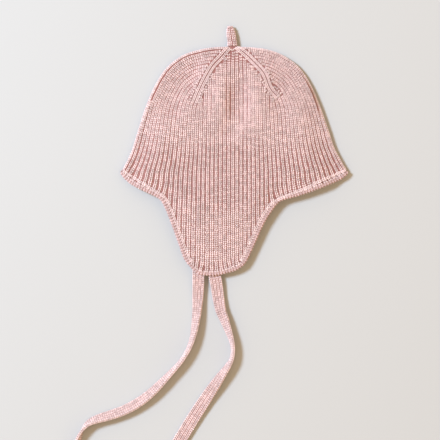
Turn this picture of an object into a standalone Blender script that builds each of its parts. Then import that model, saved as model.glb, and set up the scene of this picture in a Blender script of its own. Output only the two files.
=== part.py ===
"""A rib-knitted baby bonnet with two earflaps and two ties, lying folded flat on a surface.

+X runs to the right across the brim, +Y runs up to the crown stem, +Z is up, and Z = 0 is the surface.
The bonnet lies folded at its two sides: a lower layer flat on the surface, and an upper layer above it.
Every size is in metres.
"""

import math
from collections import namedtuple

import bpy
import numpy as np

# Outline of the bonnet as it lies
BRIM_WIDTH = 0.200
CROWN_DROP = 0.110
FLAP_DROP = 0.090

# Stem at the top of the crown
STEM_LENGTH = 0.0175
STEM_WIDTH = 0.0092
STEM_FLATNESS = 0.72
STEM_OFFSET = -0.0018
STEM_LEAN = -0.0021
NECK_HEIGHT = 0.0018

# Knitted wall and the way it folds
WALL = 0.0028
FOLD_RADIUS = 0.0020
MIDDLE_GAP = 0.0070
SWELL_REACH = 0.028

# Edging worked round the mouth
EDGING_DIAMETER = 0.0027

# Ties
TIE_WIDTH = 0.0115
TIE_THICKNESS = 0.0030
TIE_TUCK = 0.016
TIE_SETTLE = 0.024

# Clearances between neighbouring pieces
SEAM_GAP = 0.0003
EDGING_GAP = 0.0005

# Fineness of the meshes
ROW_COUNT = 19
LAYER_STEPS = 40
FOLD_STEPS = 5
CURVE_SAMPLES = 241
SPAN_SAMPLES = 12
TIE_POINT_SPACING = 0.0055
TIE_PROFILE_STEPS = 4
STEM_STEPS = 9

# The fold line from the crown's top down to each brim corner.
# down is a share of CROWN_DROP, left and right are shares of half of BRIM_WIDTH.
FoldRow = namedtuple("FoldRow", "down left right")
FOLD_ROWS = (
    FoldRow(0.004, 0.178, 0.136),
    FoldRow(0.020, 0.283, 0.276),
    FoldRow(0.063, 0.440, 0.411),
    FoldRow(0.155, 0.580, 0.555),
    FoldRow(0.282, 0.680, 0.656),
    FoldRow(0.456, 0.768, 0.743),
    FoldRow(0.647, 0.838, 0.818),
    FoldRow(0.790, 0.886, 0.870),
    FoldRow(0.885, 0.927, 0.922),
    FoldRow(0.949, 0.964, 0.962),
    FoldRow(1.000, 1.000, 1.000),
)

# The hem from the left brim corner, round the earflap, to the right brim corner.
# across is a share of half of BRIM_WIDTH, down is a share of FLAP_DROP below the corners.
HemRow = namedtuple("HemRow", "across down")
HEM_ROWS = (
    HemRow(-1.000, 0.000),
    HemRow(-0.975, 0.045),
    HemRow(-0.910, 0.110),
    HemRow(-0.842, 0.154),
    HemRow(-0.755, 0.200),
    HemRow(-0.685, 0.238),
    HemRow(-0.641, 0.275),
    HemRow(-0.589, 0.390),
    HemRow(-0.532, 0.560),
    HemRow(-0.475, 0.735),
    HemRow(-0.435, 0.850),
    HemRow(-0.379, 0.927),
    HemRow(-0.320, 0.982),
    HemRow(-0.248, 1.000),
    HemRow(-0.161, 0.998),
    HemRow(-0.073, 0.979),
    HemRow(0.014, 0.950),
    HemRow(0.084, 0.900),
    HemRow(0.136, 0.800),
    HemRow(0.197, 0.650),
    HemRow(0.258, 0.500),
    HemRow(0.337, 0.360),
    HemRow(0.392, 0.290),
    HemRow(0.450, 0.262),
    HemRow(0.582, 0.222),
    HemRow(0.740, 0.160),
    HemRow(0.880, 0.096),
    HemRow(0.965, 0.046),
    HemRow(1.000, 0.000),
)

# Soft dents and bulges of the upper layer.
# across and wide are shares of half of BRIM_WIDTH, down and long are shares of CROWN_DROP,
# and rise is a share of MIDDLE_GAP, below zero for a dent.
Dent = namedtuple("Dent", "across down wide long rise")
DENTS = (
    Dent(0.055, 0.46, 0.085, 0.24, -0.26),
    Dent(-0.140, 0.42, 0.120, 0.20, 0.10),
    Dent(0.210, 0.42, 0.110, 0.18, 0.10),
    Dent(-0.560, 0.46, 0.120, 0.26, -0.08),
)

# Routes of the ties from inside the earflaps to their bound-off ends, chosen by hand.
# x and y are metres on the surface, roll is degrees about the tie's length with the right edge
# raised, and girth is a share of the tie's full width.
TieRow = namedtuple("TieRow", "x y roll girth")
LEFT_TIE_ROUTE = (
    TieRow(-0.0314, -0.0987, 0, 0.98),
    TieRow(-0.0314, -0.1066, 0, 0.98),
    TieRow(-0.0316, -0.1214, 12, 0.95),
    TieRow(-0.0323, -0.1354, 34, 0.92),
    TieRow(-0.0336, -0.1476, 52, 0.92),
    TieRow(-0.0357, -0.1598, 66, 0.92),
    TieRow(-0.0390, -0.1703, 74, 0.92),
    TieRow(-0.0438, -0.1795, 78, 0.92),
    TieRow(-0.0497, -0.1873, 76, 0.92),
    TieRow(-0.0571, -0.1952, 68, 0.92),
    TieRow(-0.0654, -0.2039, 58, 0.95),
    TieRow(-0.0741, -0.2122, 50, 0.97),
    TieRow(-0.0842, -0.2197, 45, 0.97),
    TieRow(-0.0955, -0.2258, 44, 0.97),
    TieRow(-0.1078, -0.2303, 46, 0.97),
    TieRow(-0.1190, -0.2336, 54, 0.95),
    TieRow(-0.1270, -0.2371, 68, 0.92),
    TieRow(-0.1322, -0.2428, 86, 0.92),
    TieRow(-0.1353, -0.2494, 104, 0.92),
    TieRow(-0.1370, -0.2559, 116, 0.95),
    TieRow(-0.1377, -0.2607, 122, 0.95),
)
RIGHT_TIE_ROUTE = (
    TieRow(-0.0184, -0.0987, 0, 1.00),
    TieRow(-0.0176, -0.1066, 0, 1.00),
    TieRow(-0.0158, -0.1162, 4, 1.00),
    TieRow(-0.0141, -0.1275, 14, 0.98),
    TieRow(-0.0119, -0.1389, 30, 0.96),
    TieRow(-0.0086, -0.1476, 46, 0.94),
    TieRow(-0.0052, -0.1572, 62, 0.92),
    TieRow(-0.0024, -0.1659, 74, 0.92),
    TieRow(-0.0013, -0.1738, 80, 0.92),
    TieRow(-0.0025, -0.1817, 78, 0.92),
    TieRow(-0.0069, -0.1895, 66, 0.95),
    TieRow(-0.0130, -0.1983, 48, 0.98),
    TieRow(-0.0191, -0.2074, 30, 1.00),
    TieRow(-0.0252, -0.2166, 18, 1.02),
    TieRow(-0.0309, -0.2253, 12, 1.04),
    TieRow(-0.0366, -0.2341, 10, 1.05),
    TieRow(-0.0418, -0.2428, 8, 1.05),
    TieRow(-0.0471, -0.2515, 8, 1.05),
    TieRow(-0.0514, -0.2594, 8, 1.04),
)

# Levels that follow from the sizes above
HALF_BRIM = BRIM_WIDTH / 2
LENGTH = STEM_LENGTH + CROWN_DROP + FLAP_DROP
STEM_TIP_Y = LENGTH / 2
CROWN_TOP_Y = STEM_TIP_Y - STEM_LENGTH
CORNER_Y = CROWN_TOP_Y - CROWN_DROP
FLAP_END_Y = CORNER_Y - FLAP_DROP
LOWER_MIDDLE_Z = WALL / 2
FOLD_RISE = 2 * FOLD_RADIUS
BODY_RISE = WALL + MIDDLE_GAP
TUCK_GAP = TIE_THICKNESS + 2 * SEAM_GAP
FLAP_RISE = WALL + TUCK_GAP
TIE_ROOT_Z = WALL + SEAM_GAP + TIE_THICKNESS / 2
EDGING_ROOM = EDGING_DIAMETER + EDGING_GAP

# Where the hem's own shape starts to show in the knit rows, as a share of the way to the hem
HEM_SHAPE_START = 0.25
# How the rows crowd towards the neck: 1 would space them evenly
ROW_CROWDING = 1.25
# Where on the flap the upper layer starts to sink, as a share of FLAP_DROP
FLAP_SINK_START = 0.27
# Where the stem starts to lean and how its girth shrinks to its rounded tip, as shares
STEM_LEAN_START = 0.15
STEM_TAPER = 0.10
STEM_TIP_GIRTH = 0.35
STEM_TIP_POWER = 7
# A stretch of hem that rises less than this lies flat; a steeper one is in a fold
FLAT_HEM_SLOPE = 0.3
# Where a tie starts to sink after it has left the flaps, as a share of TIE_TUCK
TIE_SINK_START = 0.75


def smooth_step(share):
    share = np.clip(share, 0.0, 1.0)
    return share * share * (3.0 - 2.0 * share)


def mix(first, second, share):
    return first + (second - first) * share


def lengths_along(points):
    steps = np.linalg.norm(np.diff(points, axis=0), axis=1)
    return np.concatenate([[0.0], np.cumsum(steps)])


def at_distances(points, distances):
    """The points at these distances along a path."""
    along = lengths_along(points)
    return np.stack([np.interp(distances, along, axis) for axis in points.T], axis=1)


def smooth_curve(points, samples):
    """A smooth curve through the points, read at places evenly spaced over the surface."""
    points = np.asarray(points, float)
    ends = [2 * points[0] - points[1]], [2 * points[-1] - points[-2]]
    padded = np.concatenate([ends[0], points, ends[1]])
    fine = []
    for start in range(len(points) - 1):
        before, here, there, after = padded[start : start + 4]
        way = np.linspace(0.0, 1.0, SPAN_SAMPLES, endpoint=False)[:, None]
        leaving = (there - before) / 2
        arriving = (after - here) / 2
        gap = there - here
        bend = 3 * gap - 2 * leaving - arriving
        twist = leaving + arriving - 2 * gap
        fine.append(here + way * (leaving + way * (bend + way * twist)))
    fine = np.concatenate(fine + [points[-1:]])
    along = lengths_along(fine[:, :2])
    spots = np.linspace(0.0, along[-1], samples)
    return np.stack([np.interp(spots, along, column) for column in fine.T], axis=1)


def inset(points, distance):
    """A path moved to its left by this distance."""
    ways = np.gradient(points, axis=0)
    ways /= np.linalg.norm(ways, axis=1, keepdims=True)
    return points + distance * np.stack([-ways[:, 1], ways[:, 0]], axis=1)


def fold_line(side):
    """The middle of the wall along one fold, from the foot of the neck down to the brim's corner.
    side is -1 for the left fold and 1 for the right one."""
    shares = [row.left if side < 0 else row.right for row in FOLD_ROWS]
    outline = [
        (side * share * HALF_BRIM, CROWN_TOP_Y - row.down * CROWN_DROP)
        for row, share in zip(FOLD_ROWS, shares)
    ]
    middle = inset(smooth_curve(outline, CURVE_SAMPLES), -side * WALL / 2)
    neck_x = STEM_OFFSET + side * (STEM_WIDTH - WALL) / 2
    line = np.concatenate([[(neck_x, CROWN_TOP_Y - NECK_HEIGHT)], middle])
    length = lengths_along(line)[-1] - EDGING_ROOM
    return at_distances(line, np.linspace(0.0, length, CURVE_SAMPLES))


LEFT_FOLD = fold_line(-1)
RIGHT_FOLD = fold_line(1)
FOLD_POINTS = np.concatenate([LEFT_FOLD, RIGHT_FOLD])


def hem_line():
    """The wall's edge round the mouth from the left fold to the right one, inside the edging."""
    outline = [(row.across * HALF_BRIM, CORNER_Y - row.down * FLAP_DROP) for row in HEM_ROWS]
    edge = inset(smooth_curve(outline, CURVE_SAMPLES), EDGING_ROOM)
    inside = (edge[:, 0] > LEFT_FOLD[-1, 0]) & (edge[:, 0] < RIGHT_FOLD[-1, 0])
    line = np.concatenate([LEFT_FOLD[-1:], edge[inside], RIGHT_FOLD[-1:]])
    return at_distances(line, np.linspace(0.0, lengths_along(line)[-1], CURVE_SAMPLES))


HEM = hem_line()
HEM_LOW_Y = HEM[:, 1].min()


def hem_shares():
    """The hem as shares: how far across between the folds, and how far down to its lowest point."""
    left, right = HEM[0], HEM[-1]
    across = (HEM[:, 0] - left[0]) / (right[0] - left[0])
    level = mix(left[1], right[1], across)
    return 2 * across - 1, (level - HEM[:, 1]) / (level - HEM_LOW_Y)


HEM_ACROSS, HEM_DOWN = hem_shares()


def knit_row(depth):
    """The row at this share of the way from the neck to the hem: an arc round the stem near the
    crown's top, which turns by and by into the hem's own shape."""
    left = at_distances(LEFT_FOLD, [depth * lengths_along(LEFT_FOLD)[-1]])[0]
    right = at_distances(RIGHT_FOLD, [depth * lengths_along(RIGHT_FOLD)[-1]])[0]
    turn = np.linspace(0.0, math.pi, CURVE_SAMPLES)
    hem_share = smooth_step((depth - HEM_SHAPE_START) / (1.0 - HEM_SHAPE_START))
    across = (mix(-np.cos(turn), HEM_ACROSS, hem_share) + 1) / 2
    down = mix(np.sin(turn), HEM_DOWN, hem_share)
    level = mix(left[1], right[1], across)
    lowest = mix(CROWN_TOP_Y - NECK_HEIGHT, HEM_LOW_Y, depth)
    return np.stack([mix(left[0], right[0], across), mix(level, lowest, down)], axis=1)


def upper_rise(places):
    """How high the middle of the upper layer lies over the middle of the lower one."""
    away = np.linalg.norm(places[:, None, :] - FOLD_POINTS[None, :, :], axis=2).min(axis=1)
    rise = mix(FOLD_RISE, BODY_RISE, smooth_step((away - FOLD_RADIUS) / SWELL_REACH))
    for dent in DENTS:
        off_x = (places[:, 0] - dent.across * HALF_BRIM) / (dent.wide * HALF_BRIM)
        off_y = (places[:, 1] - CROWN_TOP_Y + dent.down * CROWN_DROP) / (dent.long * CROWN_DROP)
        rise = rise + dent.rise * MIDDLE_GAP * np.exp(-(off_x**2) - off_y**2)
    sink_top = CORNER_Y - FLAP_SINK_START * FLAP_DROP
    sink_end = FLAP_END_Y + TIE_TUCK
    sunk = smooth_step((sink_top - places[:, 1]) / (sink_top - sink_end))
    return mix(rise, FLAP_RISE, sunk)


def body_loop(row):
    """The wall's middle round one knit row: upper layer, right fold, lower layer, left fold."""
    length = lengths_along(row)[-1]
    spots = np.linspace(FOLD_RADIUS, length - FOLD_RADIUS, LAYER_STEPS + 1)
    layer = at_distances(row, spots)
    upper = np.column_stack([layer, LOWER_MIDDLE_Z + upper_rise(layer)])
    lower = np.column_stack([layer[::-1], np.full(len(layer), LOWER_MIDDLE_Z)])
    turn = np.linspace(math.pi / 2, -math.pi / 2, FOLD_STEPS + 1)[1:-1]
    out = FOLD_RADIUS * np.cos(turn)
    heights = LOWER_MIDDLE_Z + FOLD_RADIUS + FOLD_RADIUS * np.sin(turn)
    right = at_distances(row, length - FOLD_RADIUS + out)
    left = at_distances(row, FOLD_RADIUS - out[::-1])
    right_fold = np.column_stack([right, heights])
    left_fold = np.column_stack([left, heights[::-1]])
    return np.concatenate([upper, right_fold, lower, left_fold])


def body_loops():
    """Every loop of the body, from the neck's rim down to the hem."""
    depths = np.linspace(0.0, 1.0, ROW_COUNT) ** ROW_CROWDING
    rows = [knit_row(depth) for depth in depths]
    neck = rows[0] + np.array([0.0, NECK_HEIGHT])
    return [body_loop(row) for row in [neck] + rows]


def knit_material(name, colour, roughness):
    material = bpy.data.materials.new(name)
    material.use_nodes = True
    shader = material.node_tree.nodes["Principled BSDF"]
    shader.inputs["Base Color"].default_value = (*colour, 1.0)
    shader.inputs["Roughness"].default_value = roughness
    shader.inputs["Metallic"].default_value = 0.0
    return material


def add_object(name, data, collection, parent, material):
    piece = bpy.data.objects.new(name, data)
    data.materials.append(material)
    collection.objects.link(piece)
    piece.parent = parent
    return piece


def make_body(collection, parent, loops, material):
    """The crown, brim and earflaps, knitted in one piece. The wall's middle is lofted through
    the loops, and Solidify gives it its thickness."""
    across = len(loops[0])
    vertices = [tuple(point) for loop in loops for point in loop]
    faces = []
    for upper in range(len(loops) - 1):
        for column in range(across):
            beside = (column + 1) % across
            faces.append(
                (
                    upper * across + column,
                    (upper + 1) * across + column,
                    (upper + 1) * across + beside,
                    upper * across + beside,
                )
            )
    mesh = bpy.data.meshes.new("bonnet_body")
    mesh.from_pydata(vertices, [], faces)
    mesh.shade_smooth()
    body = add_object("bonnet_body", mesh, collection, parent, material)
    wall = body.modifiers.new("Knitted wall", "SOLIDIFY")
    wall.thickness = WALL
    wall.offset = 0.0
    wall.use_rim = True
    return body


def add_path(curve, points, closed):
    path = curve.splines.new("POLY")
    path.points.add(len(points) - 1)
    for place, point in zip(path.points, points):
        place.co = (*point, 1.0)
    path.use_cyclic_u = closed
    return path


def make_edging(collection, parent, loops, material):
    """The round edging that runs along the hem of both layers and round both brim corners."""
    hem, above = loops[-1], loops[-2]
    ahead = np.roll(hem, -1, axis=0) - hem
    ahead /= np.linalg.norm(ahead, axis=1, keepdims=True)
    along = ahead + np.roll(ahead, 1, axis=0)
    half_turn_cosine = np.linalg.norm(along, axis=1, keepdims=True) / 2
    along /= 2 * half_turn_cosine
    out = hem - above
    out -= along * np.sum(out * along, axis=1, keepdims=True)
    out /= np.linalg.norm(out, axis=1, keepdims=True)
    reach = EDGING_DIAMETER / 2 + EDGING_GAP
    lies_flat = np.abs(ahead[:, 2:]) < FLAT_HEM_SLOPE
    centre = hem + out * np.where(lies_flat, reach / half_turn_cosine, reach)
    curve = bpy.data.curves.new("hem_edging", "CURVE")
    curve.dimensions = "3D"
    curve.bevel_depth = EDGING_DIAMETER / 2
    curve.bevel_resolution = 2
    add_path(curve, centre, True)
    return add_object("hem_edging", curve, collection, parent, material)


def make_stem(collection, parent, material):
    """The knitted cord that stands on the crown's neck, leaning a little, with a rounded tip."""
    curve = bpy.data.curves.new("crown_stem", "CURVE")
    curve.dimensions = "3D"
    curve.bevel_depth = STEM_WIDTH / 2
    curve.bevel_resolution = 3
    curve.use_fill_caps = True
    shares = np.linspace(0.0, 1.0, STEM_STEPS)
    length = STEM_LENGTH - SEAM_GAP
    leaning = np.maximum(shares - STEM_LEAN_START, 0.0) / (1.0 - STEM_LEAN_START)
    points = np.column_stack([STEM_LEAN * leaning, length * shares, 0.0 * shares])
    path = add_path(curve, points, False)
    for place, share in zip(path.points, shares):
        rounding = math.sqrt(max(1.0 - share**STEM_TIP_POWER, STEM_TIP_GIRTH**2))
        place.radius = rounding * (1.0 - STEM_TAPER * share)
    stem = add_object("crown_stem", curve, collection, parent, material)
    stem.location = (STEM_OFFSET, CROWN_TOP_Y + SEAM_GAP, LOWER_MIDDLE_Z + FOLD_RADIUS)
    stem.scale = (1.0, 1.0, STEM_FLATNESS)
    return stem


def tie_profile(guides):
    """The tie's flat section with round edges, as a guide for both ties."""
    curve = bpy.data.curves.new("tie_profile", "CURVE")
    curve.dimensions = "2D"
    radius = TIE_THICKNESS / 2
    reach = TIE_WIDTH / 2 - radius
    turns = np.linspace(-math.pi / 2, math.pi / 2, TIE_PROFILE_STEPS + 1)
    right = [(reach + radius * math.cos(turn), radius * math.sin(turn), 0.0) for turn in turns]
    left = [(-x, -y, 0.0) for x, y, _ in right]
    add_path(curve, (right + left)[::-1], True)
    profile = bpy.data.objects.new("tie_profile", curve)
    profile.hide_render = True
    profile.display_type = "WIRE"
    guides.objects.link(profile)
    return profile


def make_tie(name, route, collection, parent, profile, material):
    """A flat knitted tie. It leaves the space between the earflaps, sinks to the surface and lies
    there, turning about its length by the route's roll."""
    rows = np.array(route)
    rough = lengths_along(rows[:, :2])
    rows[:, 2:] = rows[:, 2:] * (math.radians(1.0), 1.0)
    count = round(rough[-1] / TIE_POINT_SPACING) + 1
    fine = smooth_curve(rows, CURVE_SAMPLES)
    along = lengths_along(fine[:, :2])
    spots = np.linspace(0.0, along[-1], count)
    x, y, roll, girth = (np.interp(spots, along, column) for column in fine.T)
    half_width = girth * (TIE_WIDTH - TIE_THICKNESS) / 2
    lying = half_width * np.abs(np.sin(roll)) + girth * TIE_THICKNESS / 2
    sunk = smooth_step((spots - TIE_TUCK * TIE_SINK_START) / TIE_SETTLE)
    height = mix(TIE_ROOT_Z, lying, sunk)
    curve = bpy.data.curves.new(name, "CURVE")
    curve.dimensions = "3D"
    curve.twist_mode = "Z_UP"
    curve.bevel_mode = "OBJECT"
    curve.bevel_object = profile
    curve.use_fill_caps = True
    path = add_path(curve, np.column_stack([x, y, np.maximum(height, lying)]), False)
    for place, turn, share in zip(path.points, roll, girth):
        place.tilt = turn
        place.radius = share
    return add_object(name, curve, collection, parent, material)


def clear_scene():
    for leftover in list(bpy.data.objects):
        bpy.data.objects.remove(leftover, do_unlink=True)


def new_collection(name, hidden):
    collection = bpy.data.collections.new(name)
    collection.hide_render = hidden
    bpy.context.scene.collection.children.link(collection)
    return collection


def main():
    clear_scene()
    bonnet = new_collection("baby_bonnet", False)
    guides = new_collection("guides", True)
    base = bpy.data.objects.new("bonnet_base", None)
    bonnet.objects.link(base)
    loops = body_loops()
    make_body(bonnet, base, loops, knit_material("body_knit", (0.70, 0.44, 0.41), 0.92))
    make_edging(bonnet, base, loops, knit_material("edging_knit", (0.72, 0.46, 0.43), 0.92))
    make_stem(bonnet, base, knit_material("stem_knit", (0.69, 0.43, 0.40), 0.92))
    profile = tie_profile(guides)
    ties = (("tie_left", LEFT_TIE_ROUTE), ("tie_right", RIGHT_TIE_ROUTE))
    for name, route in ties:
        yarn = knit_material(name + "_knit", (0.73, 0.47, 0.44), 0.92)
        make_tie(name, route, bonnet, base, profile, yarn)


main()
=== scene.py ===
"""The rib-knitted baby bonnet's look: ribs of V stitches on both layers, the rounded folds, the
crown's shaping lines, the slip-stitch edging, the knitted stem and the two long flat ties.

+X runs to the right across the brim, +Y runs up to the crown stem, +Z is up, and Z = 0 is the
surface. Every size is in metres.
"""

import math
from collections import namedtuple

import bpy
import numpy as np
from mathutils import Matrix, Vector


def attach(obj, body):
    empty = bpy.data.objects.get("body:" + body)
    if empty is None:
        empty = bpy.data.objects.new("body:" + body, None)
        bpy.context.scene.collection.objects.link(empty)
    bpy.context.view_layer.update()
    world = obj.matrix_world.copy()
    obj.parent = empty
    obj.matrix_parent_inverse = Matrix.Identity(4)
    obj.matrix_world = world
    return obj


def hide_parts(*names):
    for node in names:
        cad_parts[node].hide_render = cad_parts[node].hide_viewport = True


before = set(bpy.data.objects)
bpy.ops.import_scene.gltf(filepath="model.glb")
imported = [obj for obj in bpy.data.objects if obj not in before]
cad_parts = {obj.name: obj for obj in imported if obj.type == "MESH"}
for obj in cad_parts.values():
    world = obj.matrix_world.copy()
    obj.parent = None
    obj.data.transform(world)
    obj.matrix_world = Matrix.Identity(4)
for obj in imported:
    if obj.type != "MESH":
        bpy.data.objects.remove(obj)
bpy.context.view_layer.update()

# Outline of the bonnet as it lies
BRIM_WIDTH = 0.200
CROWN_DROP = 0.110
FLAP_DROP = 0.090

# Stem at the top of the crown
STEM_LENGTH = 0.0175
STEM_WIDTH = 0.0092
STEM_FLATNESS = 0.72
STEM_OFFSET = -0.0018
STEM_LEAN = -0.0021
NECK_HEIGHT = 0.0018

# Knitted wall and the way it folds
WALL = 0.0028
FOLD_RADIUS = 0.0020
MIDDLE_GAP = 0.0070
SWELL_REACH = 0.022
LEAST_ROOM = 0.0001
LEAST_LENGTH = 1e-12

# Edging worked round the mouth
EDGING_DIAMETER = 0.0027

# Ties
TIE_WIDTH = 0.0115
TIE_THICKNESS = 0.0030
TIE_TUCK = 0.016
TIE_SETTLE = 0.024

# Clearances between neighbouring pieces
SEAM_GAP = 0.0003
EDGING_GAP = 0.0005

# Fineness of the meshes
ROW_COUNT = 56
LAYER_STEPS = 72
FOLD_STEPS = 8
CURVE_SAMPLES = 241
SPAN_SAMPLES = 12


def table(kind, *rows):
    """Rows of plain numbers as named values."""
    return tuple(kind(*row) for row in rows)


# The fold line from the crown's top down to each brim corner.
# down is a share of CROWN_DROP, left and right are shares of half of BRIM_WIDTH.
FoldRow = namedtuple("FoldRow", "down left right")
FOLD_ROWS = table(
    FoldRow,
    (0.004, 0.178, 0.136), (0.020, 0.283, 0.276), (0.063, 0.440, 0.411), (0.155, 0.580, 0.555),
    (0.282, 0.680, 0.656), (0.456, 0.768, 0.743), (0.647, 0.838, 0.818), (0.790, 0.886, 0.870),
    (0.885, 0.927, 0.922), (0.949, 0.964, 0.962), (1.000, 1.000, 1.000),
)

# The hem from the left brim corner, round the earflap, to the right brim corner.
# across is a share of half of BRIM_WIDTH, down is a share of FLAP_DROP below the corners.
HemRow = namedtuple("HemRow", "across down")
HEM_ROWS = table(
    HemRow,
    (-1.000, 0.000), (-0.975, 0.045), (-0.910, 0.110), (-0.842, 0.154), (-0.755, 0.200),
    (-0.685, 0.238), (-0.641, 0.275), (-0.589, 0.390), (-0.532, 0.560), (-0.475, 0.735),
    (-0.435, 0.850), (-0.379, 0.927), (-0.320, 0.982), (-0.248, 1.000), (-0.161, 0.998),
    (-0.073, 0.979), (0.014, 0.950), (0.084, 0.900), (0.136, 0.800), (0.197, 0.650),
    (0.258, 0.500), (0.337, 0.360), (0.392, 0.290), (0.450, 0.262), (0.582, 0.222),
    (0.740, 0.160), (0.880, 0.096), (0.965, 0.046), (1.000, 0.000),
)

# Soft dents and bulges of the upper layer.
# across and wide are shares of half of BRIM_WIDTH, down and long are shares of CROWN_DROP,
# and rise is a share of MIDDLE_GAP, below zero for a dent.
Dent = namedtuple("Dent", "across down wide long rise")
DENTS = table(
    Dent,
    (0.035, 0.45, 0.080, 0.17, -1.05), (-0.045, 0.66, 0.080, 0.09, -0.35),
    (-0.125, 0.42, 0.085, 0.19, 0.42), (0.205, 0.42, 0.085, 0.20, 0.22),
    (0.410, 0.38, 0.095, 0.24, -0.46), (0.640, 0.42, 0.110, 0.24, 0.30),
    (-0.430, 0.22, 0.090, 0.13, -1.30), (-0.550, 0.40, 0.090, 0.16, -1.10),
)

# Routes of the ties from inside the earflaps to their bound-off ends.
# x and y are metres on the surface, roll is degrees about the tie's length with the right edge
# raised, and girth is a share of the tie's full width.
TieRow = namedtuple("TieRow", "x y roll girth")
LEFT_TIE_ROUTE = table(
    TieRow,
    (-0.0314, -0.0987, 0, 0.98), (-0.0314, -0.1066, 0, 0.98), (-0.0316, -0.1214, 12, 0.95),
    (-0.0323, -0.1354, 34, 0.92), (-0.0336, -0.1476, 52, 0.92), (-0.0357, -0.1598, 66, 0.92),
    (-0.0390, -0.1703, 74, 0.92), (-0.0438, -0.1795, 78, 0.92), (-0.0497, -0.1873, 76, 0.92),
    (-0.0571, -0.1952, 68, 0.92), (-0.0654, -0.2039, 58, 0.95), (-0.0741, -0.2122, 50, 0.97),
    (-0.0842, -0.2197, 45, 0.97), (-0.0955, -0.2258, 44, 0.97), (-0.1078, -0.2303, 46, 0.97),
    (-0.1190, -0.2336, 54, 0.95), (-0.1270, -0.2371, 68, 0.92), (-0.1322, -0.2428, 86, 0.92),
    (-0.1353, -0.2494, 104, 0.92), (-0.1370, -0.2559, 116, 0.95), (-0.1377, -0.2607, 122, 0.95),
)
RIGHT_TIE_ROUTE = table(
    TieRow,
    (-0.0184, -0.0987, 0, 1.00), (-0.0176, -0.1066, 0, 1.00), (-0.0158, -0.1162, 4, 1.00),
    (-0.0141, -0.1275, 14, 0.98), (-0.0119, -0.1389, 30, 0.96), (-0.0086, -0.1476, 46, 0.94),
    (-0.0052, -0.1572, 62, 0.92), (-0.0024, -0.1659, 74, 0.92), (-0.0013, -0.1738, 80, 0.92),
    (-0.0025, -0.1817, 78, 0.92), (-0.0069, -0.1895, 66, 0.95), (-0.0130, -0.1983, 48, 0.98),
    (-0.0191, -0.2074, 30, 1.00), (-0.0252, -0.2166, 18, 1.02), (-0.0309, -0.2253, 12, 1.04),
    (-0.0366, -0.2341, 10, 1.05), (-0.0418, -0.2428, 8, 1.05), (-0.0471, -0.2515, 8, 1.05),
    (-0.0514, -0.2594, 8, 1.04),
)

# Levels and sizes that follow from the ones above
HALF_BRIM = BRIM_WIDTH / 2
LENGTH = STEM_LENGTH + CROWN_DROP + FLAP_DROP
STEM_TIP_Y = LENGTH / 2
CROWN_TOP_Y = STEM_TIP_Y - STEM_LENGTH
CORNER_Y = CROWN_TOP_Y - CROWN_DROP
FLAP_END_Y = CORNER_Y - FLAP_DROP
LOWER_MIDDLE_Z = WALL / 2
FOLD_RISE = 2 * FOLD_RADIUS
BODY_RISE = WALL + MIDDLE_GAP
TUCK_GAP = TIE_THICKNESS + 2 * SEAM_GAP
FLAP_RISE = WALL + TUCK_GAP
TIE_ROOT_Z = WALL + SEAM_GAP + TIE_THICKNESS / 2
EDGING_ROOM = EDGING_DIAMETER + EDGING_GAP

# Where the hem's own shape starts to show in the knit rows, as a share of the way to the hem
HEM_SHAPE_START = 0.25
# How the rows crowd towards the neck: 1 would space them evenly
ROW_CROWDING = 1.25
# Where on the flap the upper layer starts to sink, as a share of FLAP_DROP
FLAP_SINK_START = 0.27
# Where the stem starts to lean and how much thinner it gets, as shares, and how late its tip
# rounds off
STEM_LEAN_START = 0.15
STEM_TAPER = 0.10
STEM_TIP_POWER = 7
# A stretch of hem that rises less than this lies flat; a steeper one is in a fold
FLAT_HEM_SLOPE = 0.3
# Where a tie starts to sink after it has left the flaps, as a share of TIE_TUCK
TIE_SINK_START = 0.75
# How far the upper layer sinks towards the hem
HEM_SINK = 0.0020
HEM_SINK_REACH = 0.018

# Stitches and the thin band of the ties
TIE_CORE_WIDTH = 0.0098
TIE_CORE_THICKNESS = 0.0018
TIE_ROW_PITCH = 0.0019
TIE_COLUMNS = (-0.0040, -0.00135, 0.00135, 0.0040)
TIE_RIB_WIDTH = 0.0024
TIE_FACE_DEPTH = 0.00105
TIE_EDGE_REACH = 0.0051
TIE_CORE_SIDES = 16
TIE_CORE_SQUARING = 0.5
TIE_RING_STEP = 3
TIE_RIB_HEIGHT = 0.0010
TIE_EDGE_HEIGHT = 0.0011
TIE_EDGE_SLANT = 0.55
TIE_END_STITCHES = 6
TIE_END_LENGTH = 0.0018
TIE_END_INSET = 0.0014
TIE_END_DEPTH = 0.0006

# Stitches and cores of the folds, the edging and the stem
RIM_WIDTH = 0.0027
EDGING_PITCH = 0.0025
EDGING_CORE = 0.00085
EDGING_ROOT = 0.0022
EDGING_CORE_SIDES = 8
# The edging's cord lies between the chain stitches and is painted partway to the groove colour, as
# painted shade
EDGING_LIFT = 0.45
CHAIN_TILTS = (0.5, -0.9)
CHAIN_TUCK = 0.3
CHAIN_LEAN = 1.6
CHAIN_SIZE = (0.0025, EDGING_PITCH * 0.78, 0.0014)
LINK_SIZE = (0.0016, 0.0038, 0.0010)
LINK_INSET = 0.0017
LINK_RISE = 0.0008
LINK_SLANT = 0.6
# The links are painted darker than the other stitches, as shade in the crease between the edging and
# the ribs
LINK_SHADED_TONE = 0.5
STEM_COLUMNS = 7
STEM_COLUMN_START = 0.25
STEM_ROW_START = 0.45
STEM_RIB_WIDTH = 0.0030
STEM_RIB_HEIGHT = 0.0013
STEM_STITCH_INSET = 0.0006
STEM_CORE_INSET = 0.0009
STEM_CORE_SIDES = 24
STEM_RINGS = 25
STEM_TIP_LEAST = 0.10
TIP_STITCHES = 5
TIP_RADIUS = 0.0014
TIP_SINK = 0.3
TIP_SPREAD = 0.5
TIP_SIZE = (0.0022, 0.0018, 0.0012)
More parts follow.
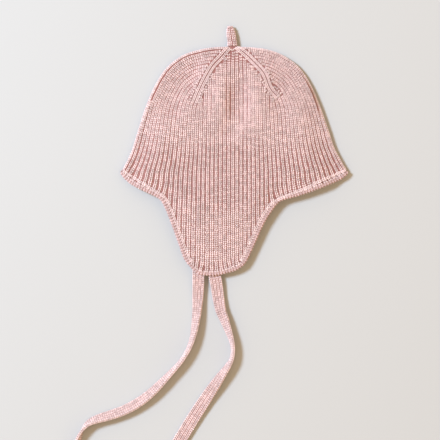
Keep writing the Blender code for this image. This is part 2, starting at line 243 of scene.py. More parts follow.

# Colours of the yarn, in linear light. The groove colours are painted shade: the yarn turns to them
# in the grooves and low on each stitch.
BODY_COLOUR = (0.985, 0.815, 0.815)
BODY_GROOVE_SHADE = (0.41, 0.180, 0.160)
EDGING_COLOUR = (0.79, 0.60, 0.60)
STEM_COLOUR = (0.90, 0.74, 0.74)
TIE_COLOUR = (0.90, 0.725, 0.72)
TIE_GROOVE_SHADE = (0.46, 0.24, 0.22)
PAPER_COLOUR = (0.520, 0.525, 0.528)

# How the yarn takes the light
YARN_SURFACE = (
    ("Roughness", 0.95),
    ("Specular IOR Level", 0.15),
    ("Sheen Weight", 0.30),
    ("Sheen Roughness", 0.45),
    ("Sheen Tint", (1.0, 0.86, 0.84, 1.0)),
)
FIBRE_SIZE = 2200.0
FIBRE_DETAIL = 5.0
FIBRE_STRENGTH = 0.5
FIBRE_RELIEF = 0.0003
PATCHINESS = 0.05
PATCH_SCALE = 55.0
PATCH_DETAIL = 3.0
PATCH_RANGE = {"From_Min": 0.3, "From_Max": 0.7}
DARKEST_STITCH = 0.78
LIGHTEST_STITCH = 1.11
# Which sockets of a colour Mix node are used
MIX_SHARE = 0
MIX_FIRST_COLOUR = 6
MIX_SECOND_COLOUR = 7
MIX_COLOUR_RESULT = 2

# Camera straight above the photo's middle, with the photo's field of view on the surface
PHOTO_CENTRE = (-0.0126, -0.0603)
PHOTO_FIELD = 0.3843
CAMERA_HEIGHT = 3.0
SENSOR_WIDTH = 36.0
FLOOR_SIZE = 4.0

# Soft light from the upper left and the warm fill
LIGHT_RISE = 50.0
LIGHT_HEADING = 153.0
LIGHT_DISTANCE = 2.8
LIGHT_SIZE = 0.68
LIGHT_POWER = 102.0
LIGHT_COLOUR = (0.635, 0.80, 1.0)
FILL_COLOUR = (0.89, 0.67, 0.43)

# Knit gauge
RIB_PITCH = 0.00354
RIBS_EACH_SIDE = 25
MIDDLE_GROOVE_X = 0.0003
ROW_PITCH = 0.00188
RIB_FILL = 0.74
FINEST_RIB = 0.0019
RIB_HEIGHT = 0.0012
RIB_REACH = 0.00055
RIM_ARC = 0.0027
RIM_GROOVE = 0.0006
RIM_GROOVE_FILL = 0.8
RIM_STRETCH = 1.12
WIDEST_GAP = 1.25
# How much fuller than its room a stitch of a shaping line or a tie's edge is
FULLNESS = 1.15
# The rib on the very edge of each fold
EDGE_INSET = 0.0001
EDGE_ROW_STRETCH = 1.3
EDGE_FLATNESS = 0.8
# The brim's level, at which the ribs are laid out, the level above which they end beside the rim,
# and where the side ribs turn along the fold
FAN_LEVEL_Y = -0.0183
FAN_TOP_Y = 0.042
SIDE_TURN_START_Y = 0.026
SIDE_TURN_LENGTH = 0.026
# Close to the hem the ribs turn square to it, or along it where it is steep
HEM_TURN_REACH = 0.013
SQUARE_HEM = 0.6
STEEP_HEM = 0.5
HEM_STOP = 0.0006
SELVEDGE_ROOM = 0.0021
SELVEDGE_INSET = 0.0014
SELVEDGE_SLOPE = 0.75
SELVEDGE_WIDTH = RIM_WIDTH * 0.9
SELVEDGE_STRETCH = 1.1
SHAPING_STOP = 0.0036
RIB_WANDER = 0.0003
# How much the ribs spread on their way down from the brim's level
FLARE = 0.5
# How far the outline runs on past the brim's corner, in spans of its last points
PAST_CORNER = 8
# How the paths of the ribs are followed, and the steps for slopes and ways
PATH_STEP = 0.0006
PATH_STEPS = 420
FINE_STEP = 0.001
SLOPE_STEP = 0.004
TILT_STEP = 0.0015
WAY_STEP = 0.0006
# Random draws for the tones and the small shifts of the stitches, and how unevenly each lies: it
# leans by up to so many radians and its size is off by up to such a share, either way
SEED = 7
TONES = np.random.default_rng(SEED)
EVEN = {"lean": 0.06, "unevenness": 0.07}
UNEVEN = {"lean": 0.10, "unevenness": 0.12}
VERY_UNEVEN = {"lean": 0.12, "unevenness": 0.12}

# Where the grooves close: up the crown and down the flap, but not under the stem or at the flap's
# end
CROWN_CLOSING_Y = -0.012
FLAP_CLOSING_Y = -0.038
CLOSING_LENGTH = 0.030
FLAP_FAN_REACH = 0.012
UNDER_STEM_Y = 0.077
UNDER_STEM_REACH = 0.010
UNDER_STEM_OPEN = 0.8
CROWN_CLOSED = 0.85
FLAP_CLOSED = 0.7
CENTRE_OPEN = 0.12
CENTRE_WIDTH = 0.030
CENTRE_RISE = 0.006
CLOSED_FILL = 0.95
CLOSED_RISE = 0.00018
# How much lighter the wall's painted groove shade is where the grooves close and are shallow
CLOSED_LIFT = 0.10

# Thin wall under the stitches, and how the stitches spread on it beside a fold. Their spread fades
# with the distance from the fold, and where both folds are as far away.
NEAR_FOLD = 0.008
CORE_WALL = 0.0015
CORE_OFFSET = -0.6
OUTER_RADIUS = FOLD_RADIUS + WALL / 2
QUARTER_ARC = OUTER_RADIUS * math.pi / 2
FOLD_PULL = QUARTER_ARC - OUTER_RADIUS
PULL_REACH = 0.040
SEAM_REACH = 0.020

# The shaping lines of the crown: across is a share of HALF_BRIM, down is a share of CROWN_DROP
ShapingRow = namedtuple("ShapingRow", "across down")
LEFT_SHAPING = table(
    ShapingRow,
    (-0.042, 0.024), (-0.105, 0.085), (-0.182, 0.155), (-0.251, 0.258),
    (-0.309, 0.361), (-0.348, 0.449),
)
RIGHT_SHAPING = table(
    ShapingRow,
    (0.012, 0.018), (0.072, 0.060), (0.136, 0.107), (0.250, 0.218),
    (0.306, 0.334), (0.376, 0.409),
)
SHAPING_OFFSET = 0.0014
SHAPING_WIDTH = 0.0026
SHAPING_RISE = 0.0003
SHAPING_TONES = (0.3, 0.8)
KNOT_OFFSET = 0.0038
KNOT_PITCH = 0.0024
KNOT_RISE = 0.0007
KNOT_ROOM = 0.0014
KNOT_WIDTHS = (0.0020, 0.0029)
KNOT_LENGTH = 0.0018
KNOT_HEIGHT = 0.0019
KNOT_SLANT = 1.6
KNOT_SCATTER = 0.0012
KNOT_CROWDING = 0.7

# The rungs across a groove, low where it is open and high where the ribs lie close together
Strand = namedtuple("Strand", "path widths heights sides")
LOW_RUNG = Strand(
    ((0.36, 0.12, -0.66), (0.56, 0.0, -0.40), (0.76, 0.0, -0.40), (0.96, 0.12, -0.66)),
    (0.22, 0.22), (0.19, 0.19), 4,
)
MIDDLE_RUNG = Strand(
    ((0.30, 0.16, -0.55), (0.46, 0.04, -0.26), (0.66, -0.04, -0.26), (0.82, -0.16, -0.55)),
    (0.20, 0.20), (0.20, 0.20), 4,
)
HIGH_RUNG = Strand(
    ((0.26, 0.20, -0.46), (0.42, 0.06, -0.14), (0.60, -0.06, -0.14), (0.76, -0.20, -0.46)),
    (0.20, 0.20), (0.22, 0.22), 4,
)
# The legs of a V and the link of the edging, in shares of a stitch
LEG_SHARES = (0.0, 0.22, 0.5, 0.78, 1.0)
LEG_FOOT = 0.09
LEG_SPREAD = 0.27
LEG_CURVE = 0.8
LEG_LENGTH = 1.28
LEG_LEVEL = -0.03
LEG_ARCH = 3.0
LEG_TOP_SHARE = 0.52
LEG_WIDTHS = (0.17, 0.215, 0.17)
LEG_HEIGHTS = (0.34, 0.42, 0.34)
LINK_LEVEL = -0.05
LINK_ARCH = 1.6
LINK_WIDTHS = (0.38, 0.5, 0.38)
# How high a stitch template reaches, for the lift that goes from 0 in a groove to 1 on top; a low
# lift is painted in the groove's shade colour
LIFT_FOOT = 0.75
LIFT_RISE = 1.1
# The bounds of groove depth between the three kinds of stitches, and how far they blend
CLOSE_KNIT = 0.45
LOOSE_KNIT = 0.78
KNIT_SPREAD = 0.40

Stitches = namedtuple("Stitches", "places ways faces sizes tones")


def smooth_step(share):
    """Rises smoothly from 0 to 1 as the share does, and stays level outside."""
    share = np.clip(share, 0.0, 1.0)
    return share * share * (3.0 - 2.0 * share)


def mix(first, second, share):
    """The value at this share of the way from the first to the second."""
    return first + (second - first) * share


def lengths_along(points):
    """How far along a path each of its points is."""
    steps = np.linalg.norm(np.diff(points, axis=0), axis=1)
    return np.concatenate([[0.0], np.cumsum(steps)])


def sampled(spots, along, columns):
    """Columns of values that belong to distances along a path, read at these spots."""
    return np.stack([np.interp(spots, along, column) for column in columns.T], axis=1)


def at_distances(points, distances):
    """The points at these distances along a path."""
    return sampled(distances, lengths_along(points), points)


def away_from(places, points):
    """How far each place is from the nearest one of these points."""
    return np.linalg.norm(places[:, None, :] - points[None, :, :], axis=2).min(axis=1)


def smooth_curve(points, samples):
    """A smooth curve through the points, read at places evenly spaced over the surface."""
    points = np.asarray(points, float)
    ends = [2 * points[0] - points[1]], [2 * points[-1] - points[-2]]
    padded = np.concatenate([ends[0], points, ends[1]])
    fine = []
    for start in range(len(points) - 1):
        before, here, there, after = padded[start : start + 4]
        way = np.linspace(0.0, 1.0, SPAN_SAMPLES, endpoint=False)[:, None]
        leaving = (there - before) / 2
        arriving = (after - here) / 2
        gap = there - here
        bend = 3 * gap - 2 * leaving - arriving
        twist = leaving + arriving - 2 * gap
        fine.append(here + way * (leaving + way * (bend + way * twist)))
    fine = np.concatenate(fine + [points[-1:]])
    along = lengths_along(fine[:, :2])
    spots = np.linspace(0.0, along[-1], samples)
    return sampled(spots, along, fine)


def inset(points, distance):
    """A path moved to its left by this distance."""
    ways = np.gradient(points, axis=0)
    ways /= np.linalg.norm(ways, axis=1, keepdims=True)
    return points + distance * np.stack([-ways[:, 1], ways[:, 0]], axis=1)


def fold_outline(side):
    """The points of one fold's outline as seen from above. side is -1 for the left fold and 1 for
    the right one, here and in what follows."""
    shares = [row.left if side < 0 else row.right for row in FOLD_ROWS]
    return [
        (side * share * HALF_BRIM, CROWN_TOP_Y - row.down * CROWN_DROP)
        for row, share in zip(FOLD_ROWS, shares)
    ]


def fold_line(side):
    """The middle of the wall along one fold, from the foot of the neck down to the brim's corner."""
    middle = inset(smooth_curve(fold_outline(side), CURVE_SAMPLES), -side * WALL / 2)
    neck_x = STEM_OFFSET + side * (STEM_WIDTH - WALL) / 2
    line = np.concatenate([[(neck_x, CROWN_TOP_Y - NECK_HEIGHT)], middle])
    length = lengths_along(line)[-1] - EDGING_ROOM
    return at_distances(line, np.linspace(0.0, length, CURVE_SAMPLES))


LEFT_FOLD = fold_line(-1)
RIGHT_FOLD = fold_line(1)
FOLD_POINTS = np.concatenate([LEFT_FOLD, RIGHT_FOLD])


def hem_line():
    """The wall's edge round the mouth from the left fold to the right one, inside the edging."""
    outline = [(row.across * HALF_BRIM, CORNER_Y - row.down * FLAP_DROP) for row in HEM_ROWS]
    edge = inset(smooth_curve(outline, CURVE_SAMPLES), EDGING_ROOM)
    inside = (edge[:, 0] > LEFT_FOLD[-1, 0]) & (edge[:, 0] < RIGHT_FOLD[-1, 0])
    line = np.concatenate([LEFT_FOLD[-1:], edge[inside], RIGHT_FOLD[-1:]])
    return at_distances(line, np.linspace(0.0, lengths_along(line)[-1], CURVE_SAMPLES))


HEM = hem_line()
HEM_LOW_Y = HEM[:, 1].min()


def hem_shares():
    """The hem as shares: how far across between the folds, and how far down to its lowest point."""
    left, right = HEM[0], HEM[-1]
    across = (HEM[:, 0] - left[0]) / (right[0] - left[0])
    level = mix(left[1], right[1], across)
    return 2 * across - 1, (level - HEM[:, 1]) / (level - HEM_LOW_Y)


HEM_ACROSS, HEM_DOWN = hem_shares()


def knit_row(depth):
    """The row at this share of the way from the neck to the hem: an arc round the stem near the
    crown's top, which turns by and by into the hem's own shape."""
    left = at_distances(LEFT_FOLD, [depth * lengths_along(LEFT_FOLD)[-1]])[0]
    right = at_distances(RIGHT_FOLD, [depth * lengths_along(RIGHT_FOLD)[-1]])[0]
    turn = np.linspace(0.0, math.pi, CURVE_SAMPLES)
    hem_share = smooth_step((depth - HEM_SHAPE_START) / (1.0 - HEM_SHAPE_START))
    across = (mix(-np.cos(turn), HEM_ACROSS, hem_share) + 1) / 2
    down = mix(np.sin(turn), HEM_DOWN, hem_share)
    level = mix(left[1], right[1], across)
    lowest = mix(CROWN_TOP_Y - NECK_HEIGHT, HEM_LOW_Y, depth)
    return np.stack([mix(left[0], right[0], across), mix(level, lowest, down)], axis=1)


def upper_rise(places):
    """How high the middle of the upper layer lies over the middle of the lower one. A dent levels
    out before it would reach below the height of the folds."""
    away = away_from(places, FOLD_POINTS)
    rise = mix(FOLD_RISE, BODY_RISE, smooth_step((away - FOLD_RADIUS) / SWELL_REACH))
    change = np.zeros(len(places))
    for dent in DENTS:
        off_x = (places[:, 0] - dent.across * HALF_BRIM) / (dent.wide * HALF_BRIM)
        off_y = (places[:, 1] - CROWN_TOP_Y + dent.down * CROWN_DROP) / (dent.long * CROWN_DROP)
        change = change + dent.rise * MIDDLE_GAP * np.exp(-(off_x**2) - off_y**2)
    room = np.maximum(rise - FOLD_RISE, LEAST_ROOM)
    rise = rise + np.where(change < 0, room * np.tanh(change / room), change)
    sink = HEM_SINK * smooth_step(1 - away_from(places, HEM) / HEM_SINK_REACH)
    rise = np.maximum(rise - sink, FOLD_RISE)
    sink_top = CORNER_Y - FLAP_SINK_START * FLAP_DROP
    sink_end = FLAP_END_Y + TIE_TUCK
    sunk = smooth_step((sink_top - places[:, 1]) / (sink_top - sink_end))
    return mix(rise, FLAP_RISE, sunk)


def body_loop(row):
    """The wall's middle round one knit row: upper layer, right fold, lower layer, left fold."""
    length = lengths_along(row)[-1]
    spots = np.linspace(FOLD_RADIUS, length - FOLD_RADIUS, LAYER_STEPS + 1)
    layer = at_distances(row, spots)
    upper = np.column_stack([layer, LOWER_MIDDLE_Z + upper_rise(layer)])
    lower = np.column_stack([layer[::-1], np.full(len(layer), LOWER_MIDDLE_Z)])
    turn = np.linspace(math.pi / 2, -math.pi / 2, FOLD_STEPS + 1)[1:-1]
    out = FOLD_RADIUS * np.cos(turn)
    heights = LOWER_MIDDLE_Z + FOLD_RADIUS + FOLD_RADIUS * np.sin(turn)
    right = at_distances(row, length - FOLD_RADIUS + out)
    left = at_distances(row, FOLD_RADIUS - out[::-1])
    right_fold = np.column_stack([right, heights])
    left_fold = np.column_stack([left, heights[::-1]])
    return np.concatenate([upper, right_fold, lower, left_fold])


def body_loops():
    """Every loop of the body, from the neck's rim down to the hem."""
    depths = np.linspace(0.0, 1.0, ROW_COUNT) ** ROW_CROWDING
    rows = [knit_row(depth) for depth in depths]
    neck = rows[0] + np.array([0.0, NECK_HEIGHT])
    return [body_loop(row) for row in [neck] + rows]


def unit(vectors):
    """The vectors made one long."""
    lengths = np.linalg.norm(vectors, axis=-1, keepdims=True)
    return vectors / np.maximum(lengths, LEAST_LENGTH)


def fold_edge(side):
    """The outline of one side as seen from above, from the neck down past the brim's corner."""
    edge = smooth_curve(fold_outline(side), 2 * CURVE_SAMPLES)
    neck = (STEM_OFFSET + side * STEM_WIDTH / 2, CROWN_TOP_Y)
    beyond = edge[-1] + (edge[-1] - edge[-3]) * PAST_CORNER
    line = np.concatenate([[neck], edge, [beyond]])
    return at_distances(line, np.linspace(0.0, lengths_along(line)[-1], 3 * CURVE_SAMPLES))


EDGES = {-1: fold_edge(-1), 1: fold_edge(1)}


def shaping_line(rows):
    """A smooth line down the crown through these rows."""
    points = [(row.across * HALF_BRIM, CROWN_TOP_Y - row.down * CROWN_DROP) for row in rows]
    return smooth_curve(points, CURVE_SAMPLES)


SHAPING = {-1: shaping_line(LEFT_SHAPING), 1: shaping_line(RIGHT_SHAPING)}


def nearest(places, line):
    """How far each place is from a line, the line's way there and its nearest point."""
    gaps = np.linalg.norm(places[:, None, :] - line[None, :, :], axis=2)
    found = gaps.argmin(axis=1)
    ways = unit(np.gradient(line, axis=0))
    return gaps[np.arange(len(places)), found], ways[found], line[found]


def fine_edge(side):
    """One side's outline as points one FINE_STEP apart."""
    edge = EDGES[side]
    return at_distances(edge, np.arange(0.0, lengths_along(edge)[-1], FINE_STEP))


def half_width(side, levels):
    """How far the outline reaches to one side at these levels, below zero on the left."""
    edge = EDGES[side]
    return side * np.interp(levels, edge[::-1, 1], edge[::-1, 0])


def rib_starts(side):
    """Where the ribs of one side cross the brim's level. The last one is the rim beside the fold."""
    reach = abs(half_width(side, FAN_LEVEL_Y)) - RIM_ARC * RIM_STRETCH - RIM_GROOVE
    reach = reach - side * MIDDLE_GROOVE_X
    counts = np.arange(RIBS_EACH_SIDE) + 0.5
    growth = (reach - RIB_PITCH * counts[-1]) / counts[-1] ** 2
    return MIDDLE_GROOVE_X + side * (RIB_PITCH * counts + growth * counts**2)


def upward_ways(side, places, shares, outside):
    """Which way the ribs run up the crown at these places, which of them run on, and which lie
    outside the shaping line."""
    x, y = places.T
    foot_x, foot_y = SHAPING[side][-1]
    above, below = half_width(side, y + SLOPE_STEP), half_width(side, y - SLOPE_STEP)
    slope = (above - below) / (2 * SLOPE_STEP)
    ways = unit(np.column_stack([side * shares**2 * slope, np.ones(len(x))]))
    outside = np.where(y < foot_y, side * (x - foot_x) > -SHAPING_STOP, outside)
    share = smooth_step((y - SIDE_TURN_START_Y) / SIDE_TURN_LENGTH) * outside
    rim_gap, edge_ways, _ = nearest(places, EDGES[side][1:])
    ways = unit(mix(ways, -edge_ways, share[:, None]))
    gap, _, _ = nearest(places, SHAPING[side])
    down = np.clip((CROWN_TOP_Y - y) / (CROWN_TOP_Y - foot_y), 0.0, 1.0)
    near = (gap < SHAPING_STOP + KNOT_ROOM * down) & (y > foot_y)
    return ways, ~near & ((rim_gap > RIM_ARC + FINEST_RIB) | (y < FAN_TOP_Y)), outside


def downward_ways(side, places, shares):
    """Which way the ribs run down to the hem at these places, and which of them run on."""
    x, y = places.T
    ways = unit(np.column_stack([side * FLARE * shares**3, -np.ones(len(x))]))
    gap, hem_ways, _ = nearest(places, HEM)
    square = np.column_stack([hem_ways[:, 1], -hem_ways[:, 0]])
    beside = hem_ways * np.sign(np.sum(hem_ways * ways, axis=1))[:, None]
    facing = np.sum(square * ways, axis=1)
    near_hem = smooth_step(1 - gap / HEM_TURN_REACH)
    turning = near_hem * smooth_step((facing - SQUARE_HEM) / (1 - SQUARE_HEM))
    following = near_hem * smooth_step((STEEP_HEM - facing) / STEEP_HEM)
    ways = unit(mix(ways, square, turning[:, None]))
    ways = unit(mix(ways, beside, following[:, None]))
    inside = (x > HEM[0, 0]) & (x < HEM[-1, 0]) & (y > np.interp(x, HEM[:, 0], HEM[:, 1]))
    return ways, inside & (gap > np.where(facing < SQUARE_HEM, SELVEDGE_ROOM, HEM_STOP))


def rib_paths(side, starts, upwards):
    """The paths of one side's ribs from the brim's level up to the crown, or down to the hem."""
    shares = np.abs(starts) / half_width(side, FAN_LEVEL_Y)
    places = np.column_stack([starts, np.full(len(starts), FAN_LEVEL_Y)])
    alive = np.ones(len(starts), bool)
    outside = alive
    track, lives = [places], [alive]
    for _ in range(PATH_STEPS):
        if upwards:
            ways, going, outside = upward_ways(side, places, shares, outside)
        else:
            ways, going = downward_ways(side, places, shares)
        alive = alive & going
        places = places + ways * PATH_STEP * alive[:, None]
        track.append(places)
        lives.append(alive)
        if not alive.any():
            break
    track, lives = np.array(track), np.array(lives)
    return [track[lives[:, number], number] for number in range(len(starts))]


def rim_path(side):
    """The smooth rib beside the fold, from the neck to the hem, one RIM_ARC in from the edge."""
    line = inset(fine_edge(side), -side * RIM_ARC)
    gap, _, _ = nearest(line, HEM)
    low = np.interp(line[:, 0], HEM[:, 0], HEM[:, 1])
    return line[(gap > HEM_STOP) & (line[:, 1] > low)]


def spaced(path, pitch):
    """Even places on a path, and the way along it at each."""
    along = lengths_along(path)
    count = max(int(along[-1] / pitch), 1)
    spots = (np.arange(count) + 0.5) * along[-1] / count
    ways = unit(np.gradient(path, axis=0))
    return sampled(spots, along, path), unit(sampled(spots, along, ways))


def fold_gap(flat, side):
    """How far each place is from one fold's edge, and the way out to it."""
    gap, ways, foot = nearest(flat, EDGES[side])
    square = -side * np.column_stack([ways[:, 1], -ways[:, 0]])
    close = gap < NEAR_FOLD
    out = np.where(close[:, None], square, unit(foot - flat))
    return np.where(close, np.abs(np.sum((foot - flat) * square, axis=1)), gap), out


def groove_depth(places):
    """How open the grooves between the ribs are, from 0 for closed to 1 as where the brim flares."""
    x, y = places.T
    centre = np.exp(-(((x - MIDDLE_GROOVE_X) / CENTRE_WIDTH) ** 2))
    crown = smooth_step((y - CROWN_CLOSING_Y - CENTRE_RISE * centre) / CLOSING_LENGTH)
    flap = smooth_step((FLAP_CLOSING_Y - y) / CLOSING_LENGTH)
    gap, _, _ = nearest(places, HEM)
    flap_end = smooth_step(1 - gap / FLAP_FAN_REACH) * flap
    off_x, off_y = (x - MIDDLE_GROOVE_X) / UNDER_STEM_REACH, (y - UNDER_STEM_Y) / UNDER_STEM_REACH
    under_stem = np.exp(-(off_x**2) - off_y**2)
    crown = crown * (1 - CENTRE_OPEN * centre)
    closed = 1.0 - CROWN_CLOSED * crown - FLAP_CLOSED * flap
    return np.clip(closed + FLAP_CLOSED * flap_end + UNDER_STEM_OPEN * under_stem, 0.0, 1.0)


def on_cloth(flat, layer):
    """Turns places measured over the cloth into points on its outside, with the way that it faces.
    layer is 1 for the upper layer and -1 for the lower one."""
    found = [fold_gap(flat, side) for side in (-1, 1)]
    closer = found[0][0] < found[1][0]
    arc = np.where(closer, found[0][0], found[1][0])
    out = np.where(closer[:, None], found[0][1], found[1][1])
    foot = flat + out * arc[:, None]
    turn = np.clip(arc / OUTER_RADIUS, 0.0, math.pi / 2)
    rounding = arc < QUARTER_ARC
    seam = smooth_step(1 - np.abs(found[0][0] - found[1][0]) / SEAM_REACH)
    seam = seam * smooth_step(2 * (arc - QUARTER_ARC) / SEAM_REACH)
    pull = FOLD_PULL * (1 - seam) * smooth_step(1 - (arc - QUARTER_ARC) / PULL_REACH)
    inward = np.where(rounding, OUTER_RADIUS * (1 - np.cos(turn)), arc - pull)
    spots = foot - out * inward[:, None]
    rise = upper_rise(spots)
    slope_x = (upper_rise(spots + (TILT_STEP, 0.0)) - rise) / TILT_STEP
    slope_y = (upper_rise(spots + (0.0, TILT_STEP)) - rise) / TILT_STEP
    tilt = unit(np.column_stack([-slope_x, -slope_y, np.ones(len(spots))]))
    if layer < 0:
        tilt = np.tile([0.0, 0.0, -1.0], (len(spots), 1))
    height = WALL + rise if layer > 0 else np.zeros(len(spots))
    curl = OUTER_RADIUS + layer * OUTER_RADIUS * np.sin(turn)
    curl_face = np.column_stack([out * np.cos(turn)[:, None], layer * np.sin(turn)])
    faces = np.where(rounding[:, None], curl_face, tilt)
    return np.column_stack([spots, np.where(rounding, curl, height)]), unit(faces)


def uneven_tones(count):
    """How light each stitch is, from 0 to 1, as the yarn catches the light differently."""
    return TONES.random(count)


def stitch_sizes(widths, lengths, heights):
    """Sizes of stitches from widths, lengths and heights, each one number or one for each stitch."""
    return np.column_stack(np.broadcast_arrays(widths, lengths, heights))


def stitches_on(flat, ways, layer, widths, length, height):
    """Stitches at places measured over the cloth, laid on the outside of one layer."""
    points, faces = on_cloth(flat, layer)
    ahead, _ = on_cloth(flat + ways * WAY_STEP, layer)
    behind, _ = on_cloth(flat - ways * WAY_STEP, layer)
    ways = unit(ahead - behind)
    sizes = stitch_sizes(np.broadcast_to(widths, len(flat)), length, height)
    return Stitches(points - faces * RIB_REACH, ways, faces, sizes, uneven_tones(len(flat)))


def together(groups):
    """Several groups of stitches as one."""
    return Stitches(*(np.concatenate(parts) for parts in zip(*groups)))


def room_beside(spots, ribs):
    """How far each place on a rib is from the nearest of these ribs, up to the widest gap."""
    gaps = np.full(len(spots), RIB_PITCH * WIDEST_GAP)
    for rib in ribs:
        if len(rib) > 1:
            gaps = np.minimum(gaps, nearest(spots, rib)[0])
    return gaps


def rib_places(side):
    """Every stitch of one side's ribs as places over the cloth, with the ways and widths there."""
    starts = rib_starts(side)[:-1]
    places, ways, widths = [], [], []
    rim = rim_path(side)
    runs = [rib_paths(side, starts, upwards) + [rim] for upwards in (True, False)]
    for number in range(len(starts)):
        phase = TONES.uniform(0.0, 1.0) * ROW_PITCH
        for ribs, sign in zip(runs, (1, -1)):
            path = ribs[number]
            if len(path) < 2:
                continue
            along = lengths_along(path)
            first = phase if sign > 0 else ROW_PITCH - phase
            if along[-1] <= first:
                continue
            count = round((along[-1] - first) / ROW_PITCH)
            spots = np.linspace(first, along[-1], count + 1)
            way = sampled(spots, along, unit(np.gradient(path, axis=0)) * sign)
            wander = (TONES.random(len(spots)) - 0.5)[:, None] * RIB_WANDER
            spot = sampled(spots, along, path) + wander * np.column_stack([way[:, 1], -way[:, 0]])
            gaps = room_beside(spot, ribs[:number][-1:] + ribs[number + 1 : number + 2])
            if number == 0:
                gaps = np.abs(spot[:, 0] - MIDDLE_GROOVE_X) + gaps / 2
                spot[:, 0] = MIDDLE_GROOVE_X + side * gaps / 2
            fill = mix(CLOSED_FILL, RIB_FILL, groove_depth(spot))
            if number == len(starts) - 1:
                fill = fill * RIM_GROOVE_FILL
            places.append(spot)
            ways.append(unit(way))
            widths.append(np.maximum(gaps * fill, FINEST_RIB))
    return np.concatenate(places), np.concatenate(ways), np.concatenate(widths)


def feed(tree, socket, value):
    """Links another node's output to a socket, or sets the socket to a plain value."""
    if isinstance(value, bpy.types.NodeSocket):
        tree.links.new(value, socket)
    else:
        socket.default_value = value


def add_node(tree, kind, settings=(), **inputs):
    """A node with its settings made and its inputs set or linked by name."""
    node = tree.nodes.new(kind)
    for name, value in settings:
        setattr(node, name, value)
    for name, value in inputs.items():
        feed(tree, node.inputs[name.replace("_", " ")], value)
    return node


def worked_out(tree, kind, operation, *values, **inputs):
    """The result of one maths node, with its first inputs given in order and others by name."""
    node = add_node(tree, kind, [("operation", operation)], **inputs)
    for value, socket in zip(values, node.inputs):
        feed(tree, socket, value)
    return node.outputs[0]


def stored(tree, name):
    """The vector that the places carry under this name."""
    whole = [("data_type", "FLOAT_VECTOR")]
    return add_node(tree, "GeometryNodeInputNamedAttribute", whole, Name=name).outputs["Attribute"]


def add_sockets(tree, direction, kind, *names):
    """Named inputs or outputs of a node group."""
    for name in names:
        tree.interface.new_socket(name=name, in_out=direction, socket_type="NodeSocket" + kind)


def knitting_nodes():
    """Geometry Nodes that set one yarn stitch at every stored place and join them to the wall."""
    tree = bpy.data.node_groups.new("Knitting", "GeometryNodeTree")
    add_sockets(tree, "INPUT", "Geometry", "Wall")
    add_sockets(tree, "INPUT", "Object", "Places", "Stitch")
    add_sockets(tree, "INPUT", "Float", "Girth", "Lean", "Unevenness")
    add_sockets(tree, "INPUT", "Int", "Seed")
    add_sockets(tree, "INPUT", "Material", "Yarn")
    add_sockets(tree, "OUTPUT", "Geometry", "Knit")
    given = tree.nodes.new("NodeGroupInput").outputs
    places = add_node(tree, "GeometryNodeObjectInfo", Object=given["Places"])
    stitch = add_node(tree, "GeometryNodeObjectInfo", Object=given["Stitch"])
    turn = add_node(
        tree,
        "FunctionNodeAxesToRotation",
        [("primary_axis", "Z"), ("secondary_axis", "Y")],
        Primary_Axis=stored(tree, "face"),
        Secondary_Axis=stored(tree, "way"),
    )
    whole = [("data_type", "FLOAT_VECTOR")]
    bounds = {"Min": (-1, -1, -1), "Max": (1, 1, 1)}
    tilts = add_node(tree, "FunctionNodeRandomValue", whole, Seed=given["Seed"], **bounds)
    lean = worked_out(tree, "ShaderNodeVectorMath", "SCALE", tilts.outputs[0], Scale=given["Lean"])
    euler = add_node(tree, "FunctionNodeEulerToRotation", Euler=lean)
    rotation = add_node(
        tree,
        "FunctionNodeRotateRotation",
        [("rotation_space", "LOCAL")],
        Rotation=turn.outputs[0],
        Rotate_By=euler.outputs[0],
    )
    growth = add_node(tree, "FunctionNodeRandomValue", whole, Seed=given["Seed"])
    for socket, operation in zip(growth.inputs, ("SUBTRACT", "ADD")):
        limit = worked_out(tree, "ShaderNodeMath", operation, given["Girth"], given["Unevenness"])
        tree.links.new(limit, socket)
    size = stored(tree, "size")
    scale = worked_out(tree, "ShaderNodeVectorMath", "MULTIPLY", size, growth.outputs[0])
    copies = add_node(
        tree,
        "GeometryNodeInstanceOnPoints",
        Points=places.outputs["Geometry"],
        Instance=stitch.outputs["Geometry"],
        Rotation=rotation.outputs[0],
        Scale=scale,
    )
    yarn = add_node(tree, "GeometryNodeRealizeInstances", Geometry=copies.outputs[0])
    joined = tree.nodes.new("GeometryNodeJoinGeometry")
    tree.links.new(yarn.outputs[0], joined.inputs[0])
    tree.links.new(given["Wall"], joined.inputs[0])
    dyeing = {"Geometry": joined.outputs[0], "Material": given["Yarn"]}
    dyed = add_node(tree, "GeometryNodeSetMaterial", **dyeing)
    add_node(tree, "NodeGroupOutput", Knit=dyed.outputs[0])
    return tree


def mesh_object(name, points, faces):
    """A smooth mesh in the scene."""
    mesh = bpy.data.meshes.new(name)
    mesh.from_pydata([tuple(point) for point in points], [], faces)
    mesh.shade_smooth()
    thing = bpy.data.objects.new(name, mesh)
    bpy.context.scene.collection.objects.link(thing)
    return thing


def store(thing, label, values):
    """Keeps a number or a vector beside each point of a mesh."""
    plain = values.ndim == 1
    layer = thing.data.attributes.new(label, "FLOAT" if plain else "FLOAT_VECTOR", "POINT")
    layer.data.foreach_set("value" if plain else "vector", values.astype(np.float32).ravel())


def strand(path, widths, heights, sides, start):
    """A pointed piece of yarn along a path, as points and faces numbered from start."""
    ways = unit(np.gradient(path, axis=0))
    across = unit(np.cross(ways, [0.0, 0.0, 1.0]))
    lift = unit(np.cross(across, ways))
    points = [path[0]]
    for spot, side, rise, wide, tall in zip(path[1:-1], across[1:-1], lift[1:-1], widths, heights):
        for number in range(sides):
            turn = 2 * math.pi * (number + 0.5) / sides
            points.append(spot + side * wide * math.cos(turn) + rise * tall * math.sin(turn))
    points.append(path[-1])
    rings = len(path) - 2
    faces = []
    for number in range(sides):
        after = (number + 1) % sides
        faces.append((0, 1 + number, 1 + after))
        for ring in range(rings - 1):
            low = 1 + ring * sides
            high = low + sides
            faces.append((low + number, high + number, high + after, low + after))
        last = 1 + (rings - 1) * sides
        faces.append((last + number, 1 + rings * sides, last + after))
    return np.array(points), [tuple(start + corner for corner in face) for face in faces]


